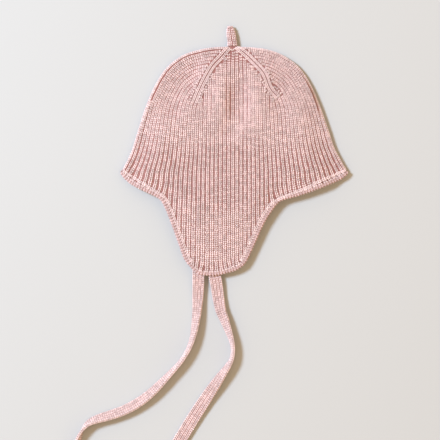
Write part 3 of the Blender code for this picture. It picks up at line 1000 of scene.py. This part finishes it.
def yarn_shape(name, strands):
    """A small mesh of a few strands, with how high each point lies stored as lift, which sets how
    much painted groove shade it gets.
    """
    points = np.zeros((0, 3))
    faces = []
    for path, widths, heights, sides in strands:
        more, around = strand(np.array(path, float), widths, heights, sides, len(points))
        points = np.concatenate([points, more])
        faces += around
    shape = mesh_object(name, points, faces)
    store(shape, "lift", np.clip((points[:, 2] + LIFT_FOOT) / LIFT_RISE, 0.0, 1.0))
    shape.hide_render = True
    shape.hide_viewport = True
    return shape


def leg(side):
    """One leg of the V, in shares of the rib's width, the row's height and the rib's thickness."""
    shares = np.array(LEG_SHARES)
    across = side * (LEG_FOOT + LEG_SPREAD * shares**LEG_CURVE)
    along = -LEG_LENGTH / 2 + LEG_LENGTH * shares
    height = LEG_LEVEL - LEG_ARCH * (shares - LEG_TOP_SHARE) ** 2
    return np.column_stack([across, along, height])


def v_stitch(name, sides, rung=None):
    """The two legs of a stitch, with the rung across the groove to the next rib if one is given."""
    legs = [Strand(leg(side), LEG_WIDTHS, LEG_HEIGHTS, sides) for side in (-1, 1)]
    return yarn_shape(name, legs + [rung] if rung else legs)


def loop_stitch():
    """One strand lying along its path, for the links between the edging and the ribs."""
    along = np.linspace(-0.5, 0.5, 5)
    path = np.column_stack([0 * along, along, LINK_LEVEL - LINK_ARCH * along**2])
    return yarn_shape("edging_link", [Strand(path, LINK_WIDTHS, LEG_HEIGHTS, 5)])


def knit(name, wall, stitches, shape, yarn, nodes, lay=EVEN):
    """Knits one piece: the stitches are set on their places, joined to the wall if there is one, and
    made a plain mesh."""
    if wall is None:
        wall = mesh_object(name + "_wall", [], [])
    spots = mesh_object(name + "_places", stitches.places, [])
    store(spots, "way", stitches.ways)
    store(spots, "face", stitches.faces)
    store(spots, "size", stitches.sizes)
    store(spots, "tone", stitches.tones)
    step = wall.modifiers.new("Knitting", "NODES")
    step.node_group = nodes
    settings = {
        "Places": spots,
        "Stitch": shape,
        "Girth": 1.0,
        "Lean": lay["lean"],
        "Unevenness": lay["unevenness"],
        "Seed": SEED,
        "Yarn": yarn,
    }
    for item in nodes.interface.items_tree:
        if item.in_out == "INPUT" and item.name in settings:
            step[item.identifier] = settings[item.name]
    bpy.context.view_layer.update()
    graph = bpy.context.evaluated_depsgraph_get()
    mesh = bpy.data.meshes.new_from_object(wall.evaluated_get(graph))
    for label in ("way", "face", "size"):
        if label in mesh.attributes:
            mesh.attributes.remove(mesh.attributes[label])
    mesh.name = name
    for used in (wall, spots):
        bpy.data.objects.remove(used, do_unlink=True)
    piece = bpy.data.objects.new(name, mesh)
    bpy.context.scene.collection.objects.link(piece)
    mesh.shade_smooth()
    return piece


def tube(name, rings, closed):
    """A closed skin over rings of points, with flat ends unless the rings run round. Its faces are
    turned outwards, which makes the space inside them count as more than nothing."""
    around = len(rings[0])
    points = np.concatenate(rings)
    faces = []
    spans = len(rings) if closed else len(rings) - 1
    for ring in range(spans):
        here = ring * around
        there = ((ring + 1) % len(rings)) * around
        for number in range(around):
            after = (number + 1) % around
            faces.append((here + number, here + after, there + after, there + number))
    if not closed:
        faces.append(tuple(range(around))[::-1])
        last = (len(rings) - 1) * around
        faces.append(tuple(last + number for number in range(around)))
    centre = points.mean(axis=0)
    corners = points[np.array([face[:3] for face in faces])] - centre
    volume = np.einsum("ij,ij->i", corners[:, 0], np.cross(corners[:, 1], corners[:, 2])).sum()
    if volume < 0:
        faces = [face[::-1] for face in faces]
    return mesh_object(name, points, faces)


def shared_yarn_look():
    """Colour and fibre relief of the yarn: painted shade between the stitches and low on each one,
    blended in from the groove colour by the lift, and a little uneven.
    """
    look = bpy.data.node_groups.new("Yarn look", "ShaderNodeTree")
    add_sockets(look, "INPUT", "Color", "Yarn Colour", "Groove Colour")
    add_sockets(look, "INPUT", "Float", "Groove Depth", "Fibre Size", "Patchiness")
    add_sockets(look, "OUTPUT", "Color", "Base Color")
    add_sockets(look, "OUTPUT", "Float", "Bump Height")
    given = look.nodes.new("NodeGroupInput").outputs
    spot = look.nodes.new("ShaderNodeTexCoord").outputs["Object"]
    lift = add_node(look, "ShaderNodeAttribute", [("attribute_name", "lift")]).outputs["Fac"]
    tone = add_node(look, "ShaderNodeAttribute", [("attribute_name", "tone")]).outputs["Fac"]
    # Painted shade: the lower a point's lift, the more the groove colour covers the yarn's colour
    curve = worked_out(look, "ShaderNodeMath", "POWER", lift, given["Groove Depth"])
    blend = add_node(look, "ShaderNodeMix", [("data_type", "RGBA")])
    feed(look, blend.inputs[MIX_SHARE], curve)
    feed(look, blend.inputs[MIX_FIRST_COLOUR], given["Groove Colour"])
    feed(look, blend.inputs[MIX_SECOND_COLOUR], given["Yarn Colour"])
    noise = {"Scale": given["Fibre Size"], "Detail": FIBRE_DETAIL}
    fibres = add_node(look, "ShaderNodeTexNoise", Vector=spot, **noise)
    noise = {"Scale": PATCH_SCALE, "Detail": PATCH_DETAIL}
    patches = add_node(look, "ShaderNodeTexNoise", Vector=spot, **noise)
    low = worked_out(look, "ShaderNodeMath", "SUBTRACT", 1.0, given["Patchiness"])
    limits = {**PATCH_RANGE, "To_Min": low}
    shade = add_node(look, "ShaderNodeMapRange", Value=patches.outputs["Fac"], **limits)
    limits = {"To_Min": DARKEST_STITCH, "To_Max": LIGHTEST_STITCH}
    strength = add_node(look, "ShaderNodeMapRange", Value=tone, **limits)
    both = worked_out(look, "ShaderNodeMath", "MULTIPLY", shade.outputs[0], strength.outputs[0])
    mixed = blend.outputs[MIX_COLOUR_RESULT]
    coloured = worked_out(look, "ShaderNodeVectorMath", "SCALE", mixed, Scale=both)
    add_node(look, "NodeGroupOutput", Base_Color=coloured, Bump_Height=fibres.outputs["Fac"])
    return look


def yarn_material(name, look, colour, groove, groove_depth):
    """A matt yarn in one colour, with a darker colour painted as shade in the grooves and low on the
    stitches.
    """
    material = bpy.data.materials.new(name)
    material.use_nodes = True
    nodes = material.node_tree
    shader = nodes.nodes["Principled BSDF"]
    for socket, value in YARN_SURFACE:
        shader.inputs[socket].default_value = value
    yarn = add_node(
        nodes,
        "ShaderNodeGroup",
        [("node_tree", look)],
        Yarn_Colour=(*colour, 1.0),
        Groove_Colour=(*groove, 1.0),
        Groove_Depth=groove_depth,
        Fibre_Size=FIBRE_SIZE,
        Patchiness=PATCHINESS,
    )
    relief = {"Strength": FIBRE_STRENGTH, "Distance": FIBRE_RELIEF}
    bump = add_node(nodes, "ShaderNodeBump", Height=yarn.outputs["Bump Height"], **relief)
    nodes.links.new(yarn.outputs["Base Color"], shader.inputs["Base Color"])
    nodes.links.new(bump.outputs["Normal"], shader.inputs["Normal"])
    return material


def set_camera():
    """The camera of the photo, which looks straight down."""
    lens = bpy.data.cameras.new("camera")
    lens.sensor_width = SENSOR_WIDTH
    lens.lens = SENSOR_WIDTH * CAMERA_HEIGHT / PHOTO_FIELD
    camera = bpy.data.objects.new("camera", lens)
    camera.location = (*PHOTO_CENTRE, CAMERA_HEIGHT)
    bpy.context.scene.collection.objects.link(camera)
    bpy.context.scene.camera = camera


def set_floor():
    """The pale grey paper under the bonnet."""
    half = FLOOR_SIZE / 2
    corners = [(-half, -half, 0.0), (half, -half, 0.0), (half, half, 0.0), (-half, half, 0.0)]
    floor = mesh_object("floor", np.array(corners), [(0, 1, 2, 3)])
    paper = bpy.data.materials.new("pale_paper")
    paper.use_nodes = True
    shader = paper.node_tree.nodes["Principled BSDF"]
    shader.inputs["Base Color"].default_value = (*PAPER_COLOUR, 1.0)
    shader.inputs["Roughness"].default_value = 0.9
    shader.inputs["Specular IOR Level"].default_value = 0.1
    floor.data.materials.append(paper)


def set_light():
    """A soft light from the upper left, and a warm even fill from everywhere."""
    aim = Vector((*PHOTO_CENTRE, 0.0))
    rise = math.radians(LIGHT_RISE)
    heading = math.radians(LIGHT_HEADING)
    level = math.cos(rise)
    towards = Vector((level * math.cos(heading), level * math.sin(heading), math.sin(rise)))
    data = bpy.data.lights.new("window_light", "AREA")
    data.shape = "DISK"
    data.size = LIGHT_SIZE
    data.energy = LIGHT_POWER
    data.color = LIGHT_COLOUR
    lamp = bpy.data.objects.new("window_light", data)
    lamp.location = aim + towards * LIGHT_DISTANCE
    lamp.rotation_euler = towards.to_track_quat("Z", "Y").to_euler()
    bpy.context.scene.collection.objects.link(lamp)
    world = bpy.data.worlds.new("warm_room")
    world.use_nodes = True
    world.node_tree.nodes["Background"].inputs["Color"].default_value = (*FILL_COLOUR, 1.0)
    world.node_tree.nodes["Background"].inputs["Strength"].default_value = 1.0
    bpy.context.scene.world = world
    bpy.context.scene.view_settings.view_transform = "Standard"


def tie_course(route):
    """The tie's middle line with its ways, faces and girths, evenly spaced."""
    rows = np.array(route)
    rows[:, 2:] = rows[:, 2:] * (math.radians(1.0), 1.0)
    fine = smooth_curve(rows, CURVE_SAMPLES)
    spots = lengths_along(fine[:, :2])
    x, y, roll, girth = fine.T
    reach = girth * (TIE_WIDTH - TIE_THICKNESS) / 2
    lying = reach * np.abs(np.sin(roll)) + girth * TIE_THICKNESS / 2
    sunk = smooth_step((spots - TIE_TUCK * TIE_SINK_START) / TIE_SETTLE)
    height = np.maximum(mix(TIE_ROOT_Z, lying, sunk), lying)
    path = np.column_stack([x, y, height])
    ways = unit(np.gradient(path, axis=0))
    level = unit(np.cross([0.0, 0.0, 1.0], ways))
    upright = np.cross(ways, level)
    turn = roll[:, None]
    rights = level * np.cos(turn) + upright * np.sin(turn)
    faces = upright * np.cos(turn) - level * np.sin(turn)
    return path, ways, rights, faces, girth


def round_turns(count):
    """Angles evenly spaced round a circle."""
    return np.linspace(0.0, 2 * math.pi, count + 1)[:-1]


def make_tie(name, route, shape, yarn, nodes):
    """One long flat tie: a thin band covered on both faces by columns of V stitches, with slanted
    stitches round its edges and a bound-off end."""
    path, ways, rights, faces, girth = tie_course(route)
    along = lengths_along(path)
    turns = round_turns(TIE_CORE_SIDES)
    rings = []
    every = slice(None, None, TIE_RING_STEP)
    squared = np.sign(np.cos(turns)) * np.abs(np.cos(turns)) ** TIE_CORE_SQUARING
    for spot, right, face, share in zip(path[every], rights[every], faces[every], girth[every]):
        wide = TIE_CORE_WIDTH / 2 * share * squared
        tall = TIE_CORE_THICKNESS / 2 * share * np.sin(turns)
        rings.append(spot + right * wide[:, None] + face * tall[:, None])
    wall = tube(name + "_band", rings, False)
    count = int(along[-1] / TIE_ROW_PITCH)
    spots = (np.arange(count) + 0.5) * along[-1] / count
    middle = sampled(spots, along, path)
    way = unit(sampled(spots, along, ways))
    right = unit(sampled(spots, along, rights))
    face = unit(sampled(spots, along, faces))
    share = np.interp(spots, along, girth)[:, None]
    groups = []
    for front in (1, -1):
        for column in TIE_COLUMNS:
            place = middle + right * share * column + face * front * share * TIE_FACE_DEPTH
            size = stitch_sizes(TIE_RIB_WIDTH * share, TIE_ROW_PITCH, TIE_RIB_HEIGHT * share)
            groups.append(Stitches(place, way, face * front, size, uneven_tones(count)))
    for side in (-1, 1):
        place = middle + right * share * side * TIE_EDGE_REACH
        slant = unit(way + face * side * TIE_EDGE_SLANT)
        size = stitch_sizes(TIE_RIB_WIDTH * share, TIE_ROW_PITCH * FULLNESS, TIE_EDGE_HEIGHT * share)
        groups.append(Stitches(place, slant, right * side, size, uneven_tones(count)))
    end, out, side = path[-1], ways[-1], rights[-1]
    spread = np.linspace(-1, 1, TIE_END_STITCHES)[:, None] * (TIE_WIDTH / 2 - TIE_END_INSET)
    place = end - out * TIE_END_DEPTH + side * spread
    same = np.ones((len(spread), 1))
    size = stitch_sizes(TIE_RIB_WIDTH * same, TIE_END_LENGTH, TIE_EDGE_HEIGHT)
    groups.append(Stitches(place, same * side, same * out, size, uneven_tones(len(spread))))
    tie = knit(name + "_knit", wall, together(groups), shape, yarn, nodes)
    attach(tie, "root")
    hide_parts(name)


def make_wall(nodes, shape, yarn):
    """The thin wall that the ribs stand on, one closed skin from the neck to the hem, with the
    crown's shaping lines on it."""
    loops = body_loops()
    around = len(loops[0])
    points = np.concatenate(loops)
    faces = []
    for row in range(len(loops) - 1):
        for column in range(around):
            beside = (column + 1) % around
            here = row * around
            there = here + around
            faces.append((here + column, there + column, there + beside, here + beside))
    flat = points[:, :2]
    closed = 1 - groove_depth(flat)
    away, _, _ = nearest(flat, FOLD_POINTS)
    inside = smooth_step((away - RIM_ARC) / NEAR_FOLD)
    points[:, 2] += closed * inside * CLOSED_RISE * np.sign(points[:, 2] - OUTER_RADIUS)
    wall = mesh_object("bonnet_wall_skin", points, faces)
    # The wall is painted in the groove's shade colour: fully beside the folds and where the grooves
    # are open, a little lighter where they close
    store(wall, "lift", closed * inside * CLOSED_LIFT)
    thick = wall.modifiers.new("Knitted wall", "SOLIDIFY")
    thick.thickness = CORE_WALL
    thick.offset = CORE_OFFSET
    return knit("bonnet_wall", wall, shaping_stitches(), shape, yarn, nodes)


def shaping_stitches():
    """The pairs of raised columns that run down the crown from the stem, on both layers."""
    groups = []
    for side in (-1, 1):
        for offset in (-SHAPING_OFFSET, SHAPING_OFFSET):
            spots, ways = spaced(inset(SHAPING[side], offset), ROW_PITCH)
            sizes = (SHAPING_WIDTH, ROW_PITCH * FULLNESS, RIB_HEIGHT * FULLNESS)
            for layer in (1, -1):
                column = stitches_on(spots, -ways, layer, *sizes)
                raised = column.places + column.faces * SHAPING_RISE * (layer > 0)
                tones = mix(*SHAPING_TONES, column.tones)
                groups.append(column._replace(places=raised, tones=tones))
        groups.append(decrease_knots(side))
    return together(groups)


def decrease_knots(side):
    """The small rough knots where the side ribs were taken in along a shaping line, most of them
    towards its lower end."""
    groups = []
    for offset in (-KNOT_OFFSET, KNOT_OFFSET):
        spots, ways = spaced(inset(SHAPING[side], offset), KNOT_PITCH)
        count = len(spots)
        down = np.linspace(0.0, 1.0, count)
        kept = TONES.random(count) < down**KNOT_CROWDING
        slant = (TONES.random(count) - 0.5)[:, None] * KNOT_SLANT
        across = np.column_stack([ways[:, 1], -ways[:, 0]])
        sizes = (mix(*KNOT_WIDTHS, TONES.random(count)), KNOT_LENGTH, KNOT_HEIGHT)
        spots = spots + across * (TONES.random(count) - 0.5)[:, None] * KNOT_SCATTER
        for layer in (1, -1):
            knots = stitches_on(spots, unit(ways + across * slant), layer, *sizes)
            raised = knots.places + knots.faces * KNOT_RISE * (layer > 0)
            knots = knots._replace(places=raised)
            groups.append(Stitches(*(part[kept] for part in knots)))
    return together(groups)


def fold_stitches():
    """The rim ribs of both layers, the rib on the very edge of each fold, and the selvedge rib down
    both sides of the earflaps."""
    groups = []
    for side in (-1, 1):
        spots, ways = spaced(rim_path(side), ROW_PITCH)
        for layer in (1, -1):
            groups.append(stitches_on(spots, -ways, layer, RIM_WIDTH, ROW_PITCH, RIB_HEIGHT))
        edge = inset(fine_edge(side), -side * EDGE_INSET)
        gap, _, _ = nearest(edge, HEM)
        edge = edge[(gap > HEM_STOP + FINE_STEP) & (edge[:, 1] > HEM[0, 1])]
        spots, ways = spaced(edge, ROW_PITCH)
        sizes = (RIM_WIDTH, ROW_PITCH * EDGE_ROW_STRETCH, RIB_HEIGHT * EDGE_FLATNESS)
        groups.append(stitches_on(spots, -ways, 1, *sizes))
    slopes = unit(np.gradient(HEM, axis=0))[:, 1]
    line = inset(HEM, SELVEDGE_INSET)
    for steep in (slopes < -SELVEDGE_SLOPE, slopes > SELVEDGE_SLOPE):
        spots, ways = spaced(line[steep], ROW_PITCH)
        sizes = (SELVEDGE_WIDTH, ROW_PITCH * SELVEDGE_STRETCH, RIB_HEIGHT)
        for layer in (1, -1):
            groups.append(stitches_on(spots, ways, layer, *sizes))
    return together(groups)


def edging_course():
    """The middle of the edging round the whole mouth, with its ways, the ways out of the cloth and
    the ways that it faces."""
    loops = body_loops()
    hem, above = loops[-1], loops[-2]
    ahead = unit(np.roll(hem, -1, axis=0) - hem)
    along = ahead + np.roll(ahead, 1, axis=0)
    half_turn_cosine = np.linalg.norm(along, axis=1, keepdims=True) / 2
    along = along / (2 * half_turn_cosine)
    out = hem - above
    out = unit(out - along * np.sum(out * along, axis=1, keepdims=True))
    reach = EDGING_DIAMETER / 2 + EDGING_GAP
    lies_flat = np.abs(ahead[:, 2:]) < FLAT_HEM_SLOPE
    centre = hem + out * np.where(lies_flat, reach / half_turn_cosine, reach)
    centre = np.concatenate([centre, centre[:1]])
    out = np.concatenate([out, out[:1]])
    length = lengths_along(centre)
    count = round(length[-1] / EDGING_PITCH)
    spots = np.arange(count) * length[-1] / count
    middle = sampled(spots, length, centre)
    outward = unit(sampled(spots, length, out))
    way = unit(np.roll(middle, -1, axis=0) - np.roll(middle, 1, axis=0))
    outward = unit(outward - way * np.sum(way * outward, axis=1, keepdims=True))
    return middle, way, outward, np.cross(way, outward)


def make_edging(shape, link, yarn, nodes):
    """The slip-stitch edging: a core cord with chain stitches over and under it, and links that tie
    it to the ribs with a small hole between each two."""
    middle, way, outward, face = edging_course()
    upper = middle[:, 2:] > OUTER_RADIUS
    outer = face if np.mean((face[:, 2:] > 0) == upper) > 0.5 else -face
    turns = round_turns(EDGING_CORE_SIDES)
    rings = []
    for spot, out, side in zip(middle, outward, np.cross(outward, way)):
        reach = np.where(np.cos(turns) < 0, EDGING_ROOT, EDGING_CORE) * np.cos(turns)
        rings.append(spot + out * reach[:, None] + side * EDGING_CORE * np.sin(turns)[:, None])
    wall = tube("edging_cord", rings, True)
    # The cord is painted partly in the groove's shade colour, as shade between the chain stitches
    store(wall, "lift", np.full(len(wall.data.vertices), EDGING_LIFT))
    count = len(middle)
    same = uneven_tones(count)
    groups = []
    for tilt in CHAIN_TILTS:
        facing = unit(outward * (1.0 - abs(tilt) * CHAIN_TUCK) + outer * tilt * CHAIN_LEAN)
        chain_sizes = np.tile(CHAIN_SIZE, (count, 1))
        groups.append(Stitches(middle + facing * EDGING_CORE, way, facing, chain_sizes, same))
    chain = knit("edging_chain", wall, together(groups), shape, yarn, nodes, VERY_UNEVEN)
    inner = middle - outward * LINK_INSET + outer * LINK_RISE
    slant = unit(outward + way * LINK_SLANT)
    # The links take a darker tone, painted shade in the crease beside the edging
    links = Stitches(inner, slant, outer, np.tile(LINK_SIZE, (count, 1)), same * LINK_SHADED_TONE)
    loops = knit("edging_links", None, links, link, yarn, nodes, UNEVEN)
    for piece in (chain, loops):
        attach(piece, "root")
    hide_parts("hem_edging")


def make_stem(shape, yarn, nodes):
    """The knitted stem: lengthwise columns of stitches round a solid core, leaning, with a round
    tip."""
    shares = np.linspace(0.0, 1.0, STEM_RINGS)
    length = STEM_LENGTH - SEAM_GAP
    leaning = np.maximum(shares - STEM_LEAN_START, 0.0) / (1.0 - STEM_LEAN_START)
    middle = np.column_stack([STEM_LEAN * leaning, length * shares, 0.0 * shares])
    middle = middle + (STEM_OFFSET, CROWN_TOP_Y + SEAM_GAP, LOWER_MIDDLE_Z + FOLD_RADIUS)
    rounding = np.sqrt(np.maximum(1.0 - shares**STEM_TIP_POWER, STEM_TIP_LEAST))
    rounding = rounding * (1.0 - STEM_TAPER * shares)
    turns = round_turns(STEM_CORE_SIDES)
    radius = STEM_WIDTH / 2 - STEM_CORE_INSET
    ring = np.column_stack([np.cos(turns), 0 * turns, np.sin(turns) * STEM_FLATNESS])
    rings = [spot + ring * radius * share for spot, share in zip(middle, rounding)]
    wall = tube("stem_core", rings, False)
    groups = []
    rows = int(length / ROW_PITCH)
    spots = (np.arange(rows) + STEM_ROW_START) / rows
    for column in range(STEM_COLUMNS):
        angle = 2 * math.pi * (column + STEM_COLUMN_START) / STEM_COLUMNS
        face = unit(np.array([math.cos(angle) * STEM_FLATNESS, 0.0, math.sin(angle)]))
        spoke = np.array([math.cos(angle), 0.0, math.sin(angle) * STEM_FLATNESS])
        centre = sampled(spots, shares, middle)
        girth = np.interp(spots, shares, rounding)[:, None]
        place = centre + spoke * girth * (STEM_WIDTH / 2 - STEM_STITCH_INSET)
        way = np.tile([STEM_LEAN / length, 1.0, 0.0], (rows, 1))
        size = stitch_sizes(STEM_RIB_WIDTH * girth, ROW_PITCH, STEM_RIB_HEIGHT)
        groups.append(Stitches(place, unit(way), np.tile(face, (rows, 1)), size, uneven_tones(rows)))
    turns = round_turns(TIP_STITCHES)
    across, upward, level = np.cos(turns), np.sin(turns), np.zeros(TIP_STITCHES)
    tip = middle[-1] + np.column_stack([across, level - TIP_SINK, upward]) * TIP_RADIUS
    around = np.column_stack([-upward, level, across])
    ahead = unit(np.column_stack([across * TIP_SPREAD, level + 1, upward * TIP_SPREAD]))
    sizes = np.tile(TIP_SIZE, (TIP_STITCHES, 1))
    groups.append(Stitches(tip, around, ahead, sizes, uneven_tones(TIP_STITCHES)))
    stem = knit("stem_stitches", wall, together(groups), shape, yarn, nodes)
    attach(stem, "root")
    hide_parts("crown_stem")


def make_body(open_v, middle_v, close_v, plain_v, coarse_v, yarn, nodes):
    """The crown, brim and earflaps: the wall, the ribs of the upper layer in two halves and three
    kinds of stitches, the ribs of the lower layer and the ribs along the folds."""
    wall = make_wall(nodes, plain_v, yarn)
    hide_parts("bonnet_body")
    pieces = [wall]
    lower = []
    for side, label in ((-1, "left"), (1, "right")):
        places, ways, widths = rib_places(side)
        upper = stitches_on(places, ways, 1, widths, ROW_PITCH, RIB_HEIGHT)
        depth = groove_depth(places) + (TONES.random(len(places)) - 0.5) * KNIT_SPREAD
        kinds = (
            ("open_ribs_", open_v, depth > LOOSE_KNIT),
            ("middle_ribs_", middle_v, (depth <= LOOSE_KNIT) & (depth > CLOSE_KNIT)),
            ("close_ribs_", close_v, depth <= CLOSE_KNIT),
        )
        lower.append(stitches_on(places, ways, -1, widths, ROW_PITCH, RIB_HEIGHT))
        for name, shape, chosen in kinds:
            part = Stitches(*(values[chosen] for values in upper))
            pieces.append(knit(name + label, None, part, shape, yarn, nodes, UNEVEN))
    pieces.append(knit("lower_ribs", None, together(lower), coarse_v, yarn, nodes))
    pieces.append(knit("fold_ribs", None, fold_stitches(), plain_v, yarn, nodes))
    for piece in pieces:
        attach(piece, "root")


set_camera()
knitting = knitting_nodes()
yarn_look = shared_yarn_look()
tie_yarn = yarn_material("tie_yarn", yarn_look, TIE_COLOUR, TIE_GROOVE_SHADE, groove_depth=0.8)
body_yarn = yarn_material("body_yarn", yarn_look, BODY_COLOUR, BODY_GROOVE_SHADE, groove_depth=1.35)
edging_yarn = yarn_material("edging_yarn", yarn_look, EDGING_COLOUR, BODY_GROOVE_SHADE, groove_depth=0.8)
stem_yarn = yarn_material("stem_yarn", yarn_look, STEM_COLOUR, BODY_GROOVE_SHADE, groove_depth=1.2)
rib_stitch = v_stitch("rib_stitch", sides=5, rung=LOW_RUNG)
middle_stitch = v_stitch("middle_stitch", sides=5, rung=MIDDLE_RUNG)
close_stitch = v_stitch("close_stitch", sides=5, rung=HIGH_RUNG)
plain_stitch = v_stitch("plain_stitch", sides=5)
back_stitch = v_stitch("back_stitch", sides=4)
link_stitch = loop_stitch()

make_tie("tie_left", LEFT_TIE_ROUTE, plain_stitch, tie_yarn, knitting)
make_tie("tie_right", RIGHT_TIE_ROUTE, plain_stitch, tie_yarn, knitting)
make_body(rib_stitch, middle_stitch, close_stitch, plain_stitch, back_stitch, body_yarn, knitting)
make_edging(plain_stitch, link_stitch, edging_yarn, knitting)
make_stem(plain_stitch, stem_yarn, knitting)
for template in (rib_stitch, middle_stitch, close_stitch, plain_stitch, back_stitch, link_stitch):
    bpy.data.objects.remove(template, do_unlink=True)
set_floor()
set_light()
